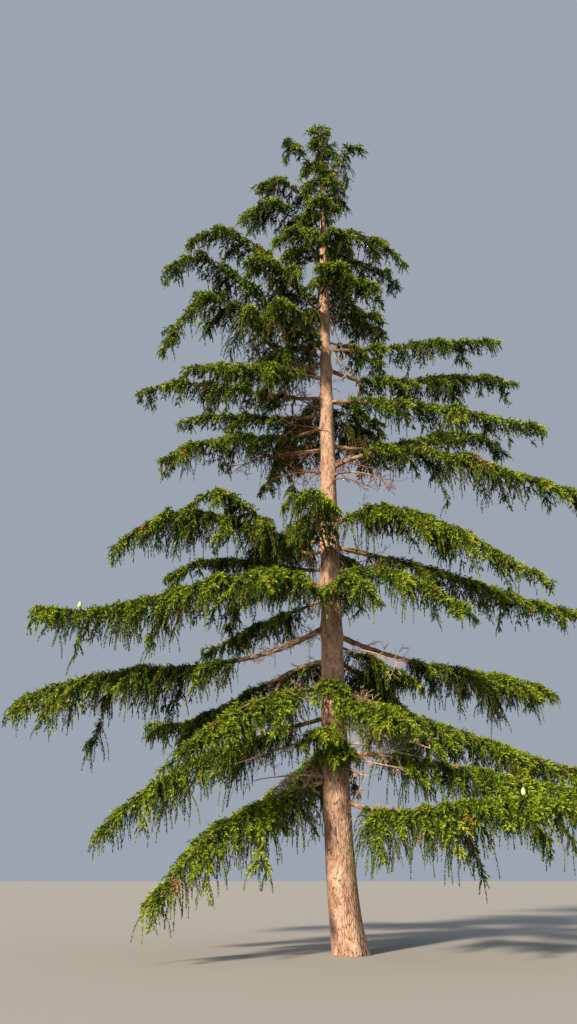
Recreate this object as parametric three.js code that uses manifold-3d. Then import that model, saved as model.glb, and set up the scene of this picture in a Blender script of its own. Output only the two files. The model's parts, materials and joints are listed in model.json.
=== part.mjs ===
// A deodar cedar, 24.5 m tall: a tapering trunk with level boughs that carry hanging sprays of needles.
// Units are millimetres, +Z is up, and the origin is the middle of the flat cut under the trunk.
// Bearings are degrees around the trunk: 0 is +X, 90 is +Y, 180 is -X, and 270 is -Y, the front.
import * as THREE from "three";
import { mergeVertices } from "three/addons/utils/BufferGeometryUtils.js";
import Module from "manifold-3d";

const wasm = await Module();
wasm.setup();

// Driving dimensions of the trunk
const METRE = 1000;
const TREE_HEIGHT = 24.5 * METRE;
const TRUNK_TOP = 22.25 * METRE; // above it the leading shoot goes on inside its foliage
const TRUNK_RADIUS = 345; // at the foot, without the flare
const TRUNK_TAPER = 0.85; // power of the share of height that is left
const FLARE_RADIUS = 65; // what the root flare adds at ground level
const FLARE_HEIGHT = 450; // the flare fades by this scale
const FLARE_LOBES = 5; // root ribs round the foot
const FLARE_LOBE_DEPTH = 0.06; // share of the radius
const TRUNK_LEAN = 240; // how far the trunk shifts towards -X above its foot
const LEAN_HEIGHT = 1500; // the shift is mostly done by this height
const TRUNK_SIDES = 12;
const TRUNK_STEPS = 16;
const TRUNK_STEP_GROWTH = 1.7; // the rings lie closer together near the foot

// Driving dimensions of the limbs
const CLEARANCE = 0.3; // gap between solids that meet
const TRUNK_CLEARANCE = 0.35; // a little more, as the trunk's flat faces lie inside its round
const LIMB_RADIUS = 20; // of a limb with no length, and it grows with the reach
const LIMB_RADIUS_PER_METRE = 6.5;
const LIMB_TIP_RADIUS = 9;
const LIMB_TAPER = 0.8;
const LIMB_SWAY = 0.035; // sideways bend of a limb, share of its reach
const LIMB_ROOT = 0.3; // a limb starts this share of the trunk's radius from its middle, before it is cut
const BOUGH_SIDES = 7;
const BOUGH_STEPS = 4;
const BARE_STEM = 0.14; // share of the reach without sprays where the stem starts at the trunk
const STEM_TOOTH_SPACING = 450;

// Driving dimensions of the side twigs
const TWIGS = 3.6; // of a limb with no length, and the number grows with the reach
const TWIGS_PER_METRE = 0.5;
const FEWEST_TWIGS = 5;
const MOST_TWIGS = 7;
const TWIG_RADIUS = 15;
const TWIG_TIP_RADIUS = 8;
const TWIG_SIDES = 3;
const TWIG_STEPS = 2;
const TWIG_ANGLE = [51, 65]; // degrees between a side twig and its limb
const GOLDEN_ANGLE = 137.5; // degrees from one twig of the leader to the next
const SPREAD = 0.5 * METRE; // longest side twig of a limb with no length
const SPREAD_PER_METRE = 145;
const SPREAD_AT_ENDS = 0.45; // the first and last twigs are shorter, share of the longest
const SPREAD_FALL = 0.35; // and all get shorter towards the tip by this share
const TWIG_LENGTH = [0.85, 1.15]; // how the lengths vary
const TWIG_DROOP = [0.4, 0.75]; // fall of a side twig's tip, share of its length
const TWIG_BEND = 0.55; // where it starts to fall, share of its length
const TWIG_ARCH = 0.1; // how far it rises there, share of its length

// Driving dimensions of the hanging sprays of needles
const HANG_LOW = 1200; // length of a hanging spray at ground level
const HANG_TOP = 800; // and at the top of the tree
const TWIG_TOOTH_SPACING = 340;
const TEETH_PER_RIB_STEP = 2; // teeth between two corners of the rib that carries them
const RIB_TOP = 0.5; // the flat top of the rib is this share of its radius above its middle
const NOTCH = 0.5; // how far down the notch between two teeth is, share of the teeth
const TOOTH_LENGTH = [0.75, 1.1]; // how the teeth vary
const TIP_TOOTH = 0.45; // the first and last teeth are shorter, share of the others
const SPRAY_TILT = 55; // degrees that the sprays of a side twig may hang out of the vertical

// A twig that would touch anything but its stem is made shorter, and in the end left out
const TRIES = 4;
const SHORTER = 0.75;
const TEST_GROWTH = 1.04; // it is tested a little larger than it is made
const TEST_RADIUS = 6; // radius added while it is tested
const GROUND_CLEARANCE = 60;

// Cones stand upright on the limbs, and are larger than life so that they show
const CONE_LENGTH = 150;
const CONE_RADIUS = 48;
const CONE_SIDES = 6;
const CONE_PROFILE = [[0, -0.2], [1, 0.3], [0.6, 0.85], [0, 1]]; // shares of radius and length, foot to tip

const SEED = 1907;
const SEED_STEP = 97;
const BARK_COLOUR = 0x8d6c54;
const LIMB_COLOUR = 0x6f5a49;
const FOLIAGE_COLOUR = 0x5f7a2f;
const SHADED_FOLIAGE_COLOUR = 0x3d5638;
const DEAD_TWIG_COLOUR = 0x6d4a38;
const BARK_ROUGHNESS = 0.9;
const FOLIAGE_ROUGHNESS = 0.7;

// Each limb: name, height at the trunk, bearing, reach, its rise at one third, at two thirds and at the tip,
// the share of the reach that is a bare bough, and the fullness, which stretches the side twigs and what hangs.
// Lengths are in metres. Where the bare share is 0 the foliage starts at the trunk.
const LIMBS = [
  ["left_01", 3.6, 215, 4.5, -0.5, -1.2, -2.65, 0, 1.3],
  ["left_02", 5.0, 198, 5.2, -0.55, -1.25, -2.6, 0, 1.3],
  ["left_03", 6.3, 150, 5.5, -0.3, -0.95, -1.05, 0.34, 1.1],
  ["left_04", 7.25, 182, 7.45, -0.95, -1.25, -2.0, 0.3, 1.3],
  ["left_05", 8.1, 198, 7.0, 0.15, -0.7, -1.15, 0, 1.3],
  ["left_06", 8.65, 165, 4.6, 0.3, 0.6, 0.15, 0, 0.8],
  ["left_07", 9.45, 194, 5.45, 0.15, 0.4, -0.75, 0, 1.2],
  ["left_08", 12.9, 170, 4.75, -0.2, -0.15, -0.7, 0, 1.2],
  ["left_09", 13.3, 150, 5.2, 0.4, 1.0, 1.2, 0, 0.8],
  ["left_10", 13.8, 176, 5.4, 0.3, 0.7, 0.35, 0, 0.8],
  ["left_11", 14.4, 214, 4.4, -0.2, -0.65, -1.3, 0, 1.1],
  ["left_12", 15.1, 198, 4.7, 0.15, 1.35, -0.75, 0, 1.5],
  ["left_13", 16.15, 192, 4.75, 0.55, 1.85, 1.35, 0, 1.05],
  ["left_14", 17.1, 200, 4.2, 0.8, 1.75, 1.0, 0, 1.1],
  ["left_15", 19.6, 190, 2.6, 0.75, 1.05, 0.3, 0, 1.4],
  ["left_16", 20.9, 175, 2.1, 0.7, 1.25, 0.85, 0, 1.1],
  ["left_17", 21.9, 185, 1.2, 0.9, 1.5, 1.65, 0, 1.1],
  ["left_18", 16.7, 224, 3.0, 0.3, 0.6, 0.3, 0, 1.4],
  ["left_19", 9.3, 204, 4.0, 0.0, 0.9, 0.1, 0, 0.9],
  ["left_20", 5.6, 228, 4.6, -0.3, -0.9, -1.9, 0, 1.2],
  ["right_01", 3.2, 318, 5.8, -0.45, -0.35, -0.6, 0, 1.3],
  ["right_02", 4.1, 343, 6.3, -0.25, -0.75, -1.15, 0, 1.3],
  ["right_03", 5.6, 10, 6.8, -0.75, -1.45, -2.0, 0, 1.2],
  ["right_04", 7.0, 30, 7.2, -0.5, -0.6, -0.75, 0.3, 1.1],
  ["right_05", 8.5, 318, 3.9, -0.15, -0.75, -1.85, 0, 0.9],
  ["right_06", 9.3, 20, 7.7, -0.4, -0.85, -1.0, 0, 0.85],
  ["right_07", 9.75, 344, 5.25, 0.3, -0.65, -1.9, 0, 1.15],
  ["right_08", 11.5, 350, 6.6, 0.28, -0.5, -1.3, 0, 1.0],
  ["right_09", 12.3, 22, 6.0, 0.3, 1.05, 0.85, 0, 0.75],
  ["right_10", 13.65, 341, 5.65, -0.5, -1.2, -1.95, 0, 0.95],
  ["right_11", 14.8, 15, 6.0, -0.3, 0.2, 0.45, 0, 0.95],
  ["right_12", 15.45, 357, 4.9, -0.15, -0.05, 0.05, 0, 0.85],
  ["right_13", 16.6, 40, 2.5, 0.35, 0.4, 0.45, 0, 0.9],
  ["right_14", 17.6, 352, 1.75, 0.15, 0.1, -0.75, 0, 1.0],
  ["right_15", 18.4, 20, 2.55, 0.35, 0.35, 0.0, 0, 0.9],
  ["right_16", 19.1, 340, 2.5, 0.2, -0.2, -1.25, 0, 1.0],
  ["right_17", 21.4, 345, 1.3, 0.75, 1.5, 1.75, 0, 1.0],
  ["front_01", 5.3, 300, 3.2, -0.2, -0.5, -1.2, 0, 1.0],
  ["front_02", 7.8, 236, 3.7, 0.15, 0.1, -0.5, 0, 1.2],
  ["front_03", 8.9, 256, 2.6, 0.5, 0.95, 0.7, 0, 1.2],
  ["front_04", 7.5, 283, 2.6, 0.3, 0.35, -0.2, 0, 1.0],
  ["front_05", 15.3, 236, 2.7, 0.2, 0.4, 0.1, 0, 1.2],
  ["front_06", 17.2, 282, 1.8, 0.15, 0.15, -0.1, 0, 1.2],
  ["front_07", 18.2, 240, 2.1, 0.45, 0.5, 0.1, 0, 1.2],
  ["front_08", 19.9, 266, 1.4, 0.25, 0.3, 0.05, 0, 1.0],
  ["back_01", 4.5, 104, 6.0, -0.4, -0.9, -1.7, 0, 1.2],
  ["back_02", 6.4, 66, 6.4, -0.3, -0.8, -1.6, 0, 1.2],
  ["back_03", 10.6, 112, 5.8, 0.1, -0.1, -1.0, 0, 1.0],
  ["back_04", 14.3, 102, 5.1, 0.1, 0.3, 0.1, 0, 1.0],
  ["back_05", 15.9, 131, 4.2, 0.3, 0.6, 0.3, 0, 1.0],
  ["back_06", 18.4, 80, 3.0, 0.5, 0.8, 0.4, 0, 1.0],
  ["back_07", 20.8, 110, 1.9, 0.5, 0.8, 0.6, 0, 1.0],
  ["back_08", 7.9, 156, 3.6, -0.25, -0.6, -1.1, 0, 1.0],
];
const DEAD_LIMBS = [
  ["left", 12.2, 158, 3.0, 0.1, 0.15, -0.3, 0, 1],
  ["right", 11.35, 328, 1.9, -0.1, -0.35, -0.9, 0, 1],
];
// The leading shoot nods: metres from the top of the trunk
const LEADER_NOD = [[0, 0, 0], [0, 0, 0.6], [-0.04, 0, 1.6], [-0.16, 0, 2.2]];
const CONES = { left_05: [0.44, 0.87], right_01: [0.8] }; // places along the limb
const LEADER_TWIGS = 12;
const LEADER_SPREAD = 0.8 * METRE;

const { clamp, degToRad: radians, lerp } = THREE.MathUtils;

// Repeatable random numbers from 0 to 1
function randomNumbers(seed) {
  const MODULUS = 2147483647;
  const MULTIPLIER = 16807;
  let state = seed;
  return () => {
    state = (state * MULTIPLIER) % MODULUS;
    return state / MODULUS;
  };
}

function between([least, most], random) {
  return lerp(least, most, random());
}

function trunkMiddle(height) {
  return -TRUNK_LEAN * (1 - Math.exp(-height / LEAN_HEIGHT));
}

function trunkRadius(height) {
  const taper = Math.pow(1 - height / TREE_HEIGHT, TRUNK_TAPER);
  return TRUNK_RADIUS * taper + FLARE_RADIUS * Math.exp(-height / FLARE_HEIGHT);
}

// A closed tube through rings that all turn the same way round, with flat ends
function tubeThrough(rings) {
  const sides = rings[0].length;
  const last = (rings.length - 1) * sides;
  const faces = [];
  for (let ring = 0; ring < rings.length - 1; ring++) {
    for (let side = 0; side < sides; side++) {
      const a = ring * sides + side;
      const b = ring * sides + ((side + 1) % sides);
      faces.push(a, b, b + sides, a, b + sides, a + sides);
    }
  }
  for (let side = 1; side < sides - 1; side++) {
    faces.push(0, side + 1, side);
    faces.push(last, last + side, last + side + 1);
  }
  return shapeFrom(rings.flat(), faces);
}

function shapeFrom(points, faces) {
  const geometry = new THREE.BufferGeometry().setFromPoints(points);
  geometry.setIndex(faces);
  return geometry;
}

// Directions across a curve: side is level, and up is square to side and to the curve
function crossDirections(curve, at) {
  const tangent = curve.getTangent(at);
  const side = new THREE.Vector3().crossVectors(curve.reference, tangent).normalize();
  const up = new THREE.Vector3().crossVectors(tangent, side);
  return { tangent, side, up };
}

// A tapering tube with flat ends along a curve; shift moves its first end along the curve
function taperedTube(curve, from, to, radiusAt, sides, steps, shift = 0) {
  const rings = [];
  for (let step = 0; step <= steps; step++) {
    const at = lerp(from, to, step / steps);
    const { tangent, side, up } = crossDirections(curve, at);
    const centre = curve.getPoint(at).addScaledVector(tangent, step === 0 ? shift : 0);
    const ring = [];
    for (let corner = 0; corner < sides; corner++) {
      const angle = (2 * Math.PI * corner) / sides;
      const point = centre.clone().addScaledVector(side, radiusAt(at) * Math.cos(angle));
      ring.push(point.addScaledVector(up, radiusAt(at) * Math.sin(angle)));
    }
    rings.push(ring);
  }
  return tubeThrough(rings);
}

function trunkShape(growth) {
  const rings = [];
  for (let step = 0; step <= TRUNK_STEPS; step++) {
    const height = TRUNK_TOP * Math.pow(step / TRUNK_STEPS, TRUNK_STEP_GROWTH);
    const ring = [];
    for (let corner = 0; corner < TRUNK_SIDES; corner++) {
      const angle = (2 * Math.PI * corner) / TRUNK_SIDES;
      const ribs = FLARE_LOBE_DEPTH * Math.cos(FLARE_LOBES * angle) * Math.exp(-height / FLARE_HEIGHT);
      const radius = trunkRadius(height) * (1 + ribs) + growth;
      const x = trunkMiddle(height) + radius * Math.cos(angle);
      ring.push(new THREE.Vector3(x, radius * Math.sin(angle), height));
    }
    rings.push(ring);
  }
  return tubeThrough(rings);
}

// The middle line of a limb, from the middle of the trunk to the tip
class LimbCurve extends THREE.Curve {
  constructor([name, height, bearing, reach, riseNear, riseFar, riseTip, bare, fullness], random) {
    super();
    this.name = name;
    this.height = height * METRE;
    this.bearing = radians(bearing);
    this.reach = reach * METRE;
    this.rises = [riseNear, riseFar, riseTip].map((rise) => rise * METRE);
    this.bare = bare;
    this.fullness = fullness;
    this.sway = between([-LIMB_SWAY, LIMB_SWAY], random) * this.reach;
    this.reference = new THREE.Vector3(0, 0, 1);
  }

  // The cubic that is 0 at the trunk and passes through the three rises at 1/3, 2/3 and 1
  riseAt(t) {
    const [near, far, tip] = this.rises;
    const middle = 13.5 * t * (1 - t) * (near * (2 / 3 - t) + far * (t - 1 / 3));
    return middle + 4.5 * t * (t - 1 / 3) * (t - 2 / 3) * tip;
  }

  getPoint(t) {
    const sway = this.sway * Math.sin(Math.PI * t);
    const x = this.reach * t * Math.cos(this.bearing) - sway * Math.sin(this.bearing);
    const y = this.reach * t * Math.sin(this.bearing) + sway * Math.cos(this.bearing);
    return new THREE.Vector3(trunkMiddle(this.height) + x, y, this.height + this.riseAt(t));
  }

  radiusAt(t) {
    const root = LIMB_RADIUS + (LIMB_RADIUS_PER_METRE * this.reach) / METRE;
    return LIMB_TIP_RADIUS + (root - LIMB_TIP_RADIUS) * Math.pow(1 - t, LIMB_TAPER);
  }
}

// The nodding leading shoot above the trunk
function leaderCurve() {
  const foot = new THREE.Vector3(trunkMiddle(TRUNK_TOP), 0, TRUNK_TOP);
  const points = LEADER_NOD.map(([x, y, z]) => new THREE.Vector3(x, y, z).multiplyScalar(METRE).add(foot));
  const curve = new THREE.CatmullRomCurve3(points);
  curve.name = "leader";
  curve.fullness = 1;
  curve.height = TRUNK_TOP;
  curve.reach = points[points.length - 1].z - TRUNK_TOP;
  curve.reference = new THREE.Vector3(1, 0, 0);
  curve.radiusAt = (t) => lerp(trunkRadius(TRUNK_TOP), LIMB_TIP_RADIUS, t);
  return curve;
}

function solidFrom(geometry) {
  const bare = new THREE.BufferGeometry();
  bare.setAttribute("position", geometry.getAttribute("position").clone());
  bare.setIndex(geometry.getIndex());
  const merged = mergeVertices(bare);
  const vertProperties = new Float32Array(merged.getAttribute("position").array);
  const triVerts = new Uint32Array(merged.getIndex().array);
  return new wasm.Manifold(new wasm.Mesh({ numProp: 3, vertProperties, triVerts }));
}

// The largest triangles go first, because a reader of the file tells inside from outside by the first ones
function geometryFrom(solid) {
  const { vertProperties, triVerts } = solid.getMesh();
  const position = new THREE.BufferAttribute(vertProperties, 3);
  const triangle = new THREE.Triangle();
  const faces = [];
  for (let first = 0; first < triVerts.length; first += 3) {
    const corners = Array.from(triVerts.subarray(first, first + 3));
    triangle.setFromAttributeAndIndices(position, ...corners);
    faces.push({ corners, area: triangle.getArea() });
  }
  faces.sort((a, b) => b.area - a.area);
  const geometry = new THREE.BufferGeometry();
  geometry.setAttribute("position", position);
  geometry.setIndex(faces.flatMap((face) => face.corners));
  geometry.computeVertexNormals();
  return geometry;
}

function boxesMeet(a, b) {
  return [0, 1, 2].every((axis) => a.min[axis] <= b.max[axis] && b.min[axis] <= a.max[axis]);
}

// A piece of a node, with the box round it
function pieceFrom(geometry) {
  const solid = solidFrom(geometry);
  return { solid, box: solid.boundingBox() };
}

function touches(piece, others) {
  const near = others.filter((other) => boxesMeet(piece.box, other.box));
  return near.some((other) => !piece.solid.intersect(other.solid).isEmpty());
}

// A twig with its sprays: a stout rib along the curve, and a toothed edge that hangs from it
function sprayShape(curve, from, ribSteps, radiusAt, teeth, hang, shift = 0) {
  const edgeCount = 2 * teeth.length + 1;
  const ribCount = ribSteps + 1;
  const points = [];
  for (let rib = 0; rib < ribCount; rib++) {
    const at = lerp(from, 1, rib / ribSteps);
    const { tangent, side, up } = crossDirections(curve, at);
    const centre = curve.getPoint(at).addScaledVector(tangent, rib === 0 ? shift : 0);
    const top = centre.addScaledVector(up, radiusAt(at) * RIB_TOP);
    points.push(top.clone().addScaledVector(side, radiusAt(at)));
    points.push(top.clone().addScaledVector(side, -radiusAt(at)));
  }
  for (let edge = 0; edge < edgeCount; edge++) {
    const at = lerp(from, 1, edge / (edgeCount - 1));
    const { tangent, up } = crossDirections(curve, at);
    const point = curve.getPoint(at).addScaledVector(tangent, edge === 0 ? shift : 0);
    if (edge === 0 || edge === edgeCount - 1) {
      point.addScaledVector(up, -radiusAt(at));
    } else {
      const tooth = teeth[Math.floor((edge - 1) / 2)];
      const next = teeth[Math.floor(edge / 2)];
      point.addScaledVector(hang, edge % 2 ? tooth : NOTCH * Math.min(tooth, next));
    }
    points.push(point.setZ(Math.max(point.z, GROUND_CLEARANCE)));
  }
  return shapeFrom(points, sprayFaces(ribCount, edgeCount));
}

// Faces of a spray: its points are the rib's corners in pairs, left and right, and then the toothed edge
function sprayFaces(ribCount, edgeCount) {
  const left = (rib) => 2 * rib;
  const right = (rib) => 2 * rib + 1;
  const below = (edge) => 2 * ribCount + edge;
  const nearestRib = (edge) => Math.round((edge * (ribCount - 1)) / (edgeCount - 1));
  const faces = [left(0), below(0), right(0)];
  for (let rib = 0; rib < ribCount - 1; rib++) {
    faces.push(left(rib), right(rib), left(rib + 1), right(rib), right(rib + 1), left(rib + 1));
  }
  for (let edge = 0; edge < edgeCount - 1; edge++) {
    const rib = nearestRib(edge);
    faces.push(left(rib), below(edge + 1), below(edge), right(rib), below(edge), below(edge + 1));
    for (let passed = rib; passed < nearestRib(edge + 1); passed++) {
      faces.push(left(passed), left(passed + 1), below(edge + 1));
      faces.push(right(passed), below(edge + 1), right(passed + 1));
    }
  }
  faces.push(left(ribCount - 1), right(ribCount - 1), below(edgeCount - 1));
  return faces;
}

// Lengths of the teeth that hang from a stretch of twig, shorter at both its ends
function teethAlong(stretch, spacing, hang, random) {
  const count = Math.max(2, Math.round(stretch / spacing));
  return Array.from({ length: count }, (_, index) => {
    const arch = Math.sin((Math.PI * (index + 1)) / (count + 1));
    return hang * lerp(TIP_TOOTH, 1, arch) * between(TOOTH_LENGTH, random);
  });
}

function hangLength(height) {
  return lerp(HANG_LOW, HANG_TOP, height / TREE_HEIGHT);
}

// The side twigs of a limb or leader: one from the middle of each straight stretch of its stem, left and right
// in turn on a limb, and all round the leader
function sideTwigs(curve, start, count, allRound, random) {
  const spread = allRound ? LEADER_SPREAD : SPREAD + (SPREAD_PER_METRE * curve.reach) / METRE;
  const longest = spread * curve.fullness;
  const twigs = [];
  for (let index = 0; index < count; index++) {
    const along = (index + 0.5) / count;
    const at = lerp(start, 1, along);
    const before = curve.getPoint(lerp(start, 1, index / count));
    const after = curve.getPoint(lerp(start, 1, (index + 1) / count));
    const turn = allRound ? radians(GOLDEN_ANGLE * index) : Math.PI * (index % 2);
    const share = lerp(SPREAD_AT_ENDS, 1, Math.sin(Math.PI * along)) * (1 - SPREAD_FALL * along);
    const length = longest * share * between(TWIG_LENGTH, random);
    const angle = radians(between(TWIG_ANGLE, random));
    const droop = between(TWIG_DROOP, random);
    const { tangent, side, up } = crossDirections(curve, at);
    const outward = side.clone().multiplyScalar(Math.cos(turn)).addScaledVector(up, Math.sin(turn));
    const heading = tangent.clone().multiplyScalar(Math.cos(angle)).addScaledVector(outward, Math.sin(angle));
    twigs.push({ root: before.lerp(after, 0.5), heading, length, droop, at });
  }
  return twigs.filter((twig) => allRound || twig.at > BARE_STEM);
}

function twigCurve({ root, heading, length, droop }) {
  const bend = root.clone().addScaledVector(heading, length * TWIG_BEND);
  bend.z += TWIG_ARCH * length;
  const tip = root.clone().addScaledVector(heading, length);
  tip.z -= droop * length;
  const curve = new THREE.QuadraticBezierCurve3(root, bend, tip);
  curve.reference = new THREE.Vector3(0, 0, 1);
  return curve;
}

function twigRadius(t) {
  return lerp(TWIG_RADIUS, TWIG_TIP_RADIUS, t);
}

// A twig as it is made, or as it is tested where growth is more than 0
function twigShape(curve, teeth, hang, growth) {
  const radiusAt = (t) => twigRadius(t) + TEST_RADIUS * growth;
  if (teeth.length === 0) {
    return taperedTube(curve, 0, 1, radiusAt, TWIG_SIDES, TWIG_STEPS);
  }
  const longer = 1 + (TEST_GROWTH - 1) * growth;
  const ribSteps = Math.ceil(teeth.length / TEETH_PER_RIB_STEP);
  return sprayShape(curve, 0, ribSteps, radiusAt, teeth.map((tooth) => tooth * longer), hang);
}

function coneShape(point) {
  const outline = CONE_PROFILE.map(([out, up]) => new THREE.Vector2(out * CONE_RADIUS, up * CONE_LENGTH));
  const geometry = new THREE.LatheGeometry(outline, CONE_SIDES);
  geometry.rotateX(Math.PI / 2);
  geometry.translate(point.x, point.y, point.z);
  return geometry;
}

const trunk = pieceFrom(trunkShape(0));
const trunkCut = pieceFrom(trunkShape(TRUNK_CLEARANCE));

function cutByTrunk(geometry) {
  const solid = solidFrom(geometry).subtract(trunkCut.solid);
  return { solid, box: solid.boundingBox() };
}

// The teeth that hang from a limb's own stem, with hardly any on the bare stretch beside the trunk
function stemTeeth(curve, from, hang, random) {
  const teeth = teethAlong((1 - from) * curve.reach, STEM_TOOTH_SPACING, hang, random);
  return teeth.map((tooth, index) => {
    const at = lerp(from, 1, (index + 0.5) / teeth.length);
    return at < BARE_STEM ? curve.radiusAt(at) : tooth;
  });
}

// A mass of foliage starts as its stem, and gets its side twigs once every stem and bough is there
function makeMass(name, curve, from, shift, twigCount, random) {
  const leafy = !name.startsWith("dead");
  const allRound = curve.name === "leader";
  const hang = hangLength(curve.height) * curve.fullness;
  const down = new THREE.Vector3(0, 0, -1);
  const radiusAt = (t) => curve.radiusAt(t);
  const teeth = stemTeeth(curve, from, hang, random);
  const shape = leafy && !allRound
    ? sprayShape(curve, from, twigCount, radiusAt, teeth, down, shift)
    : taperedTube(curve, from, 1, radiusAt, TWIG_SIDES, twigCount, shift);
  const stem = shift > 0 ? pieceFrom(shape) : cutByTrunk(shape);
  const twigs = sideTwigs(curve, from, twigCount, allRound, random).map((twig) => {
    const tilt = radians(between([-SPRAY_TILT, SPRAY_TILT], random));
    const hangWay = down.clone().applyAxisAngle(twig.heading, tilt);
    const twigTeeth = leafy ? teethAlong(twig.length, TWIG_TOOTH_SPACING, hang, random) : [];
    return { ...twig, hangWay, teeth: twigTeeth };
  });
  return { name, curve, pieces: [stem], twigs };
}

// Adds a side twig with its sprays to a mass, made shorter until it touches nothing but the stem
function addTwig(mass, twig, others) {
  const rest = mass.pieces.slice(1);
  for (let attempt = 0; attempt < TRIES; attempt++) {
    const shrink = Math.pow(SHORTER, attempt);
    const curve = twigCurve({ ...twig, length: twig.length * shrink });
    const teeth = twig.teeth.map((tooth) => tooth * shrink);
    const test = pieceFrom(twigShape(curve, teeth, twig.hangWay, 1));
    if (!touches(test, others) && !touches(test, rest)) {
      mass.pieces.push(pieceFrom(twigShape(curve, teeth, twig.hangWay, 0)));
      return;
    }
  }
}

function growMass(mass, others) {
  for (const twig of mass.twigs) {
    addTwig(mass, twig, others);
  }
  for (const place of CONES[mass.curve.name] ?? []) {
    const point = mass.curve.getPoint(place);
    mass.pieces.push(pieceFrom(coneShape(point)));
  }
}

function fused(pieces) {
  return wasm.Manifold.union(pieces.map((piece) => piece.solid));
}

function namedMesh(name, geometry, colour, roughness) {
  const material = new THREE.MeshStandardMaterial({ color: colour, roughness, metalness: 0 });
  const mesh = new THREE.Mesh(geometry, material);
  mesh.name = name;
  return mesh;
}

const tree = new THREE.Group();
tree.add(namedMesh("trunk", geometryFrom(trunk.solid), BARK_COLOUR, BARK_ROUGHNESS));

// Limbs and stems come first, so that every twig can keep clear of all of them
const boughs = [];
const masses = [];

function addLimb(row, index, kind) {
  const random = randomNumbers(SEED + SEED_STEP * (index + 1));
  const curve = new LimbCurve(row, random);
  const rootAt = (LIMB_ROOT * trunkRadius(curve.height)) / curve.reach;
  const onBough = curve.bare > 0;
  if (onBough) {
    const shape = taperedTube(curve, rootAt, curve.bare, (t) => curve.radiusAt(t), BOUGH_SIDES, BOUGH_STEPS);
    boughs.push({ name: `bough_${curve.name}`, ...cutByTrunk(shape) });
  }
  const from = onBough ? curve.bare : rootAt;
  const wanted = TWIGS + (TWIGS_PER_METRE * curve.reach) / METRE;
  const twigCount = Math.round(clamp(wanted, FEWEST_TWIGS, MOST_TWIGS));
  masses.push(makeMass(`${kind}_${curve.name}`, curve, from, onBough ? CLEARANCE : 0, twigCount, random));
}

LIMBS.forEach((row, index) => addLimb(row, index, "foliage"));
DEAD_LIMBS.forEach((row, index) => addLimb(row, LIMBS.length + index, "dead_twigs"));
const leader = leaderCurve();
masses.push(makeMass("foliage_leader", leader, 0, CLEARANCE, LEADER_TWIGS, randomNumbers(SEED)));

for (const bough of boughs) {
  tree.add(namedMesh(bough.name, geometryFrom(bough.solid), LIMB_COLOUR, BARK_ROUGHNESS));
}

for (const mass of masses) {
  const otherMasses = masses.filter((other) => other !== mass);
  growMass(mass, [trunkCut, ...boughs, ...otherMasses.flatMap((other) => other.pieces)]);
}

function massColour(name) {
  if (name.startsWith("dead")) {
    return DEAD_TWIG_COLOUR;
  }
  return name.includes("back") ? SHADED_FOLIAGE_COLOUR : FOLIAGE_COLOUR;
}

for (const mass of masses) {
  const geometry = geometryFrom(fused(mass.pieces));
  tree.add(namedMesh(mass.name, geometry, massColour(mass.name), FOLIAGE_ROUGHNESS));
}

export default tree;
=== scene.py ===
# %% [markdown]
# # A deodar cedar in a pale studio
# The tree is 24.5 m tall. Its level boughs carry flat fans of twigs, and from every twig hang thin branchlets
# clothed in needles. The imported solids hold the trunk, the boughs and the coarse masses. This lesson grows
# bark, twigs and needles over them by the same rule that made the solids.

import json
import math

import bpy
import numpy as np
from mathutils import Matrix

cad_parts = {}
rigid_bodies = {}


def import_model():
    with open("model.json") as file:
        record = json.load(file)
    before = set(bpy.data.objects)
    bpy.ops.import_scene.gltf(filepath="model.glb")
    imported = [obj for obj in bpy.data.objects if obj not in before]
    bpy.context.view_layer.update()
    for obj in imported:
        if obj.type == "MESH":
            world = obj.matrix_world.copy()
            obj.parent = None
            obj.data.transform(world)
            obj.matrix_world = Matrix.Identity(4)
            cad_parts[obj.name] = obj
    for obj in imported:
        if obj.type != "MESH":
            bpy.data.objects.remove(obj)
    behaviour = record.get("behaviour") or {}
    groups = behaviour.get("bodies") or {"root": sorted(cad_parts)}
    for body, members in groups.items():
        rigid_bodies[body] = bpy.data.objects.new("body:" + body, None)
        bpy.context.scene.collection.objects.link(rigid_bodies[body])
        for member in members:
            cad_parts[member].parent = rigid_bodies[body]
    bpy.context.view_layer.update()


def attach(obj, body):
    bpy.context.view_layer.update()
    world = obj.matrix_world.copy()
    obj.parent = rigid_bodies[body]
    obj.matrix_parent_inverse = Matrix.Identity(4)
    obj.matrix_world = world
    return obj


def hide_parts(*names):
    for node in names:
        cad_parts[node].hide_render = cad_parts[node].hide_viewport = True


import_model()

# %% [markdown]
# ## Camera
# The photograph is taken from 19 m off, looking up. With the eye at 1.6 m, the horizon's height in the
# picture gives the tilt, and the foot of the trunk gives the distance. An ordinary 28 mm lens on the long
# side of the picture then puts the top of the tree where it is. The camera only turns and never shifts.

# %% Place the camera
EYE_HEIGHT = 1.6
CAMERA_PLACE = (-1.31, -19.26, EYE_HEIGHT)
CAMERA_TILT = 24.23  # degrees up from the level
FOCAL_MM = 28.125
FILM_MM = 36.0
SIGHT = 400.0  # metres to the furthest thing shown


def add_object(name, data):
    """A new object of the scene."""
    thing = bpy.data.objects.new(name, data)
    bpy.context.scene.collection.objects.link(thing)
    return thing


camera_data = bpy.data.cameras.new("camera")
camera_data.lens = FOCAL_MM
camera_data.sensor_width = FILM_MM
camera_data.clip_end = SIGHT
camera = add_object("camera", camera_data)
camera.location = CAMERA_PLACE
camera.rotation_euler = (math.radians(90 + CAMERA_TILT), 0.0, 0.0)
bpy.context.scene.camera = camera
print("camera", CAMERA_TILT, "degrees up, lens", FOCAL_MM, "mm")

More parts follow.
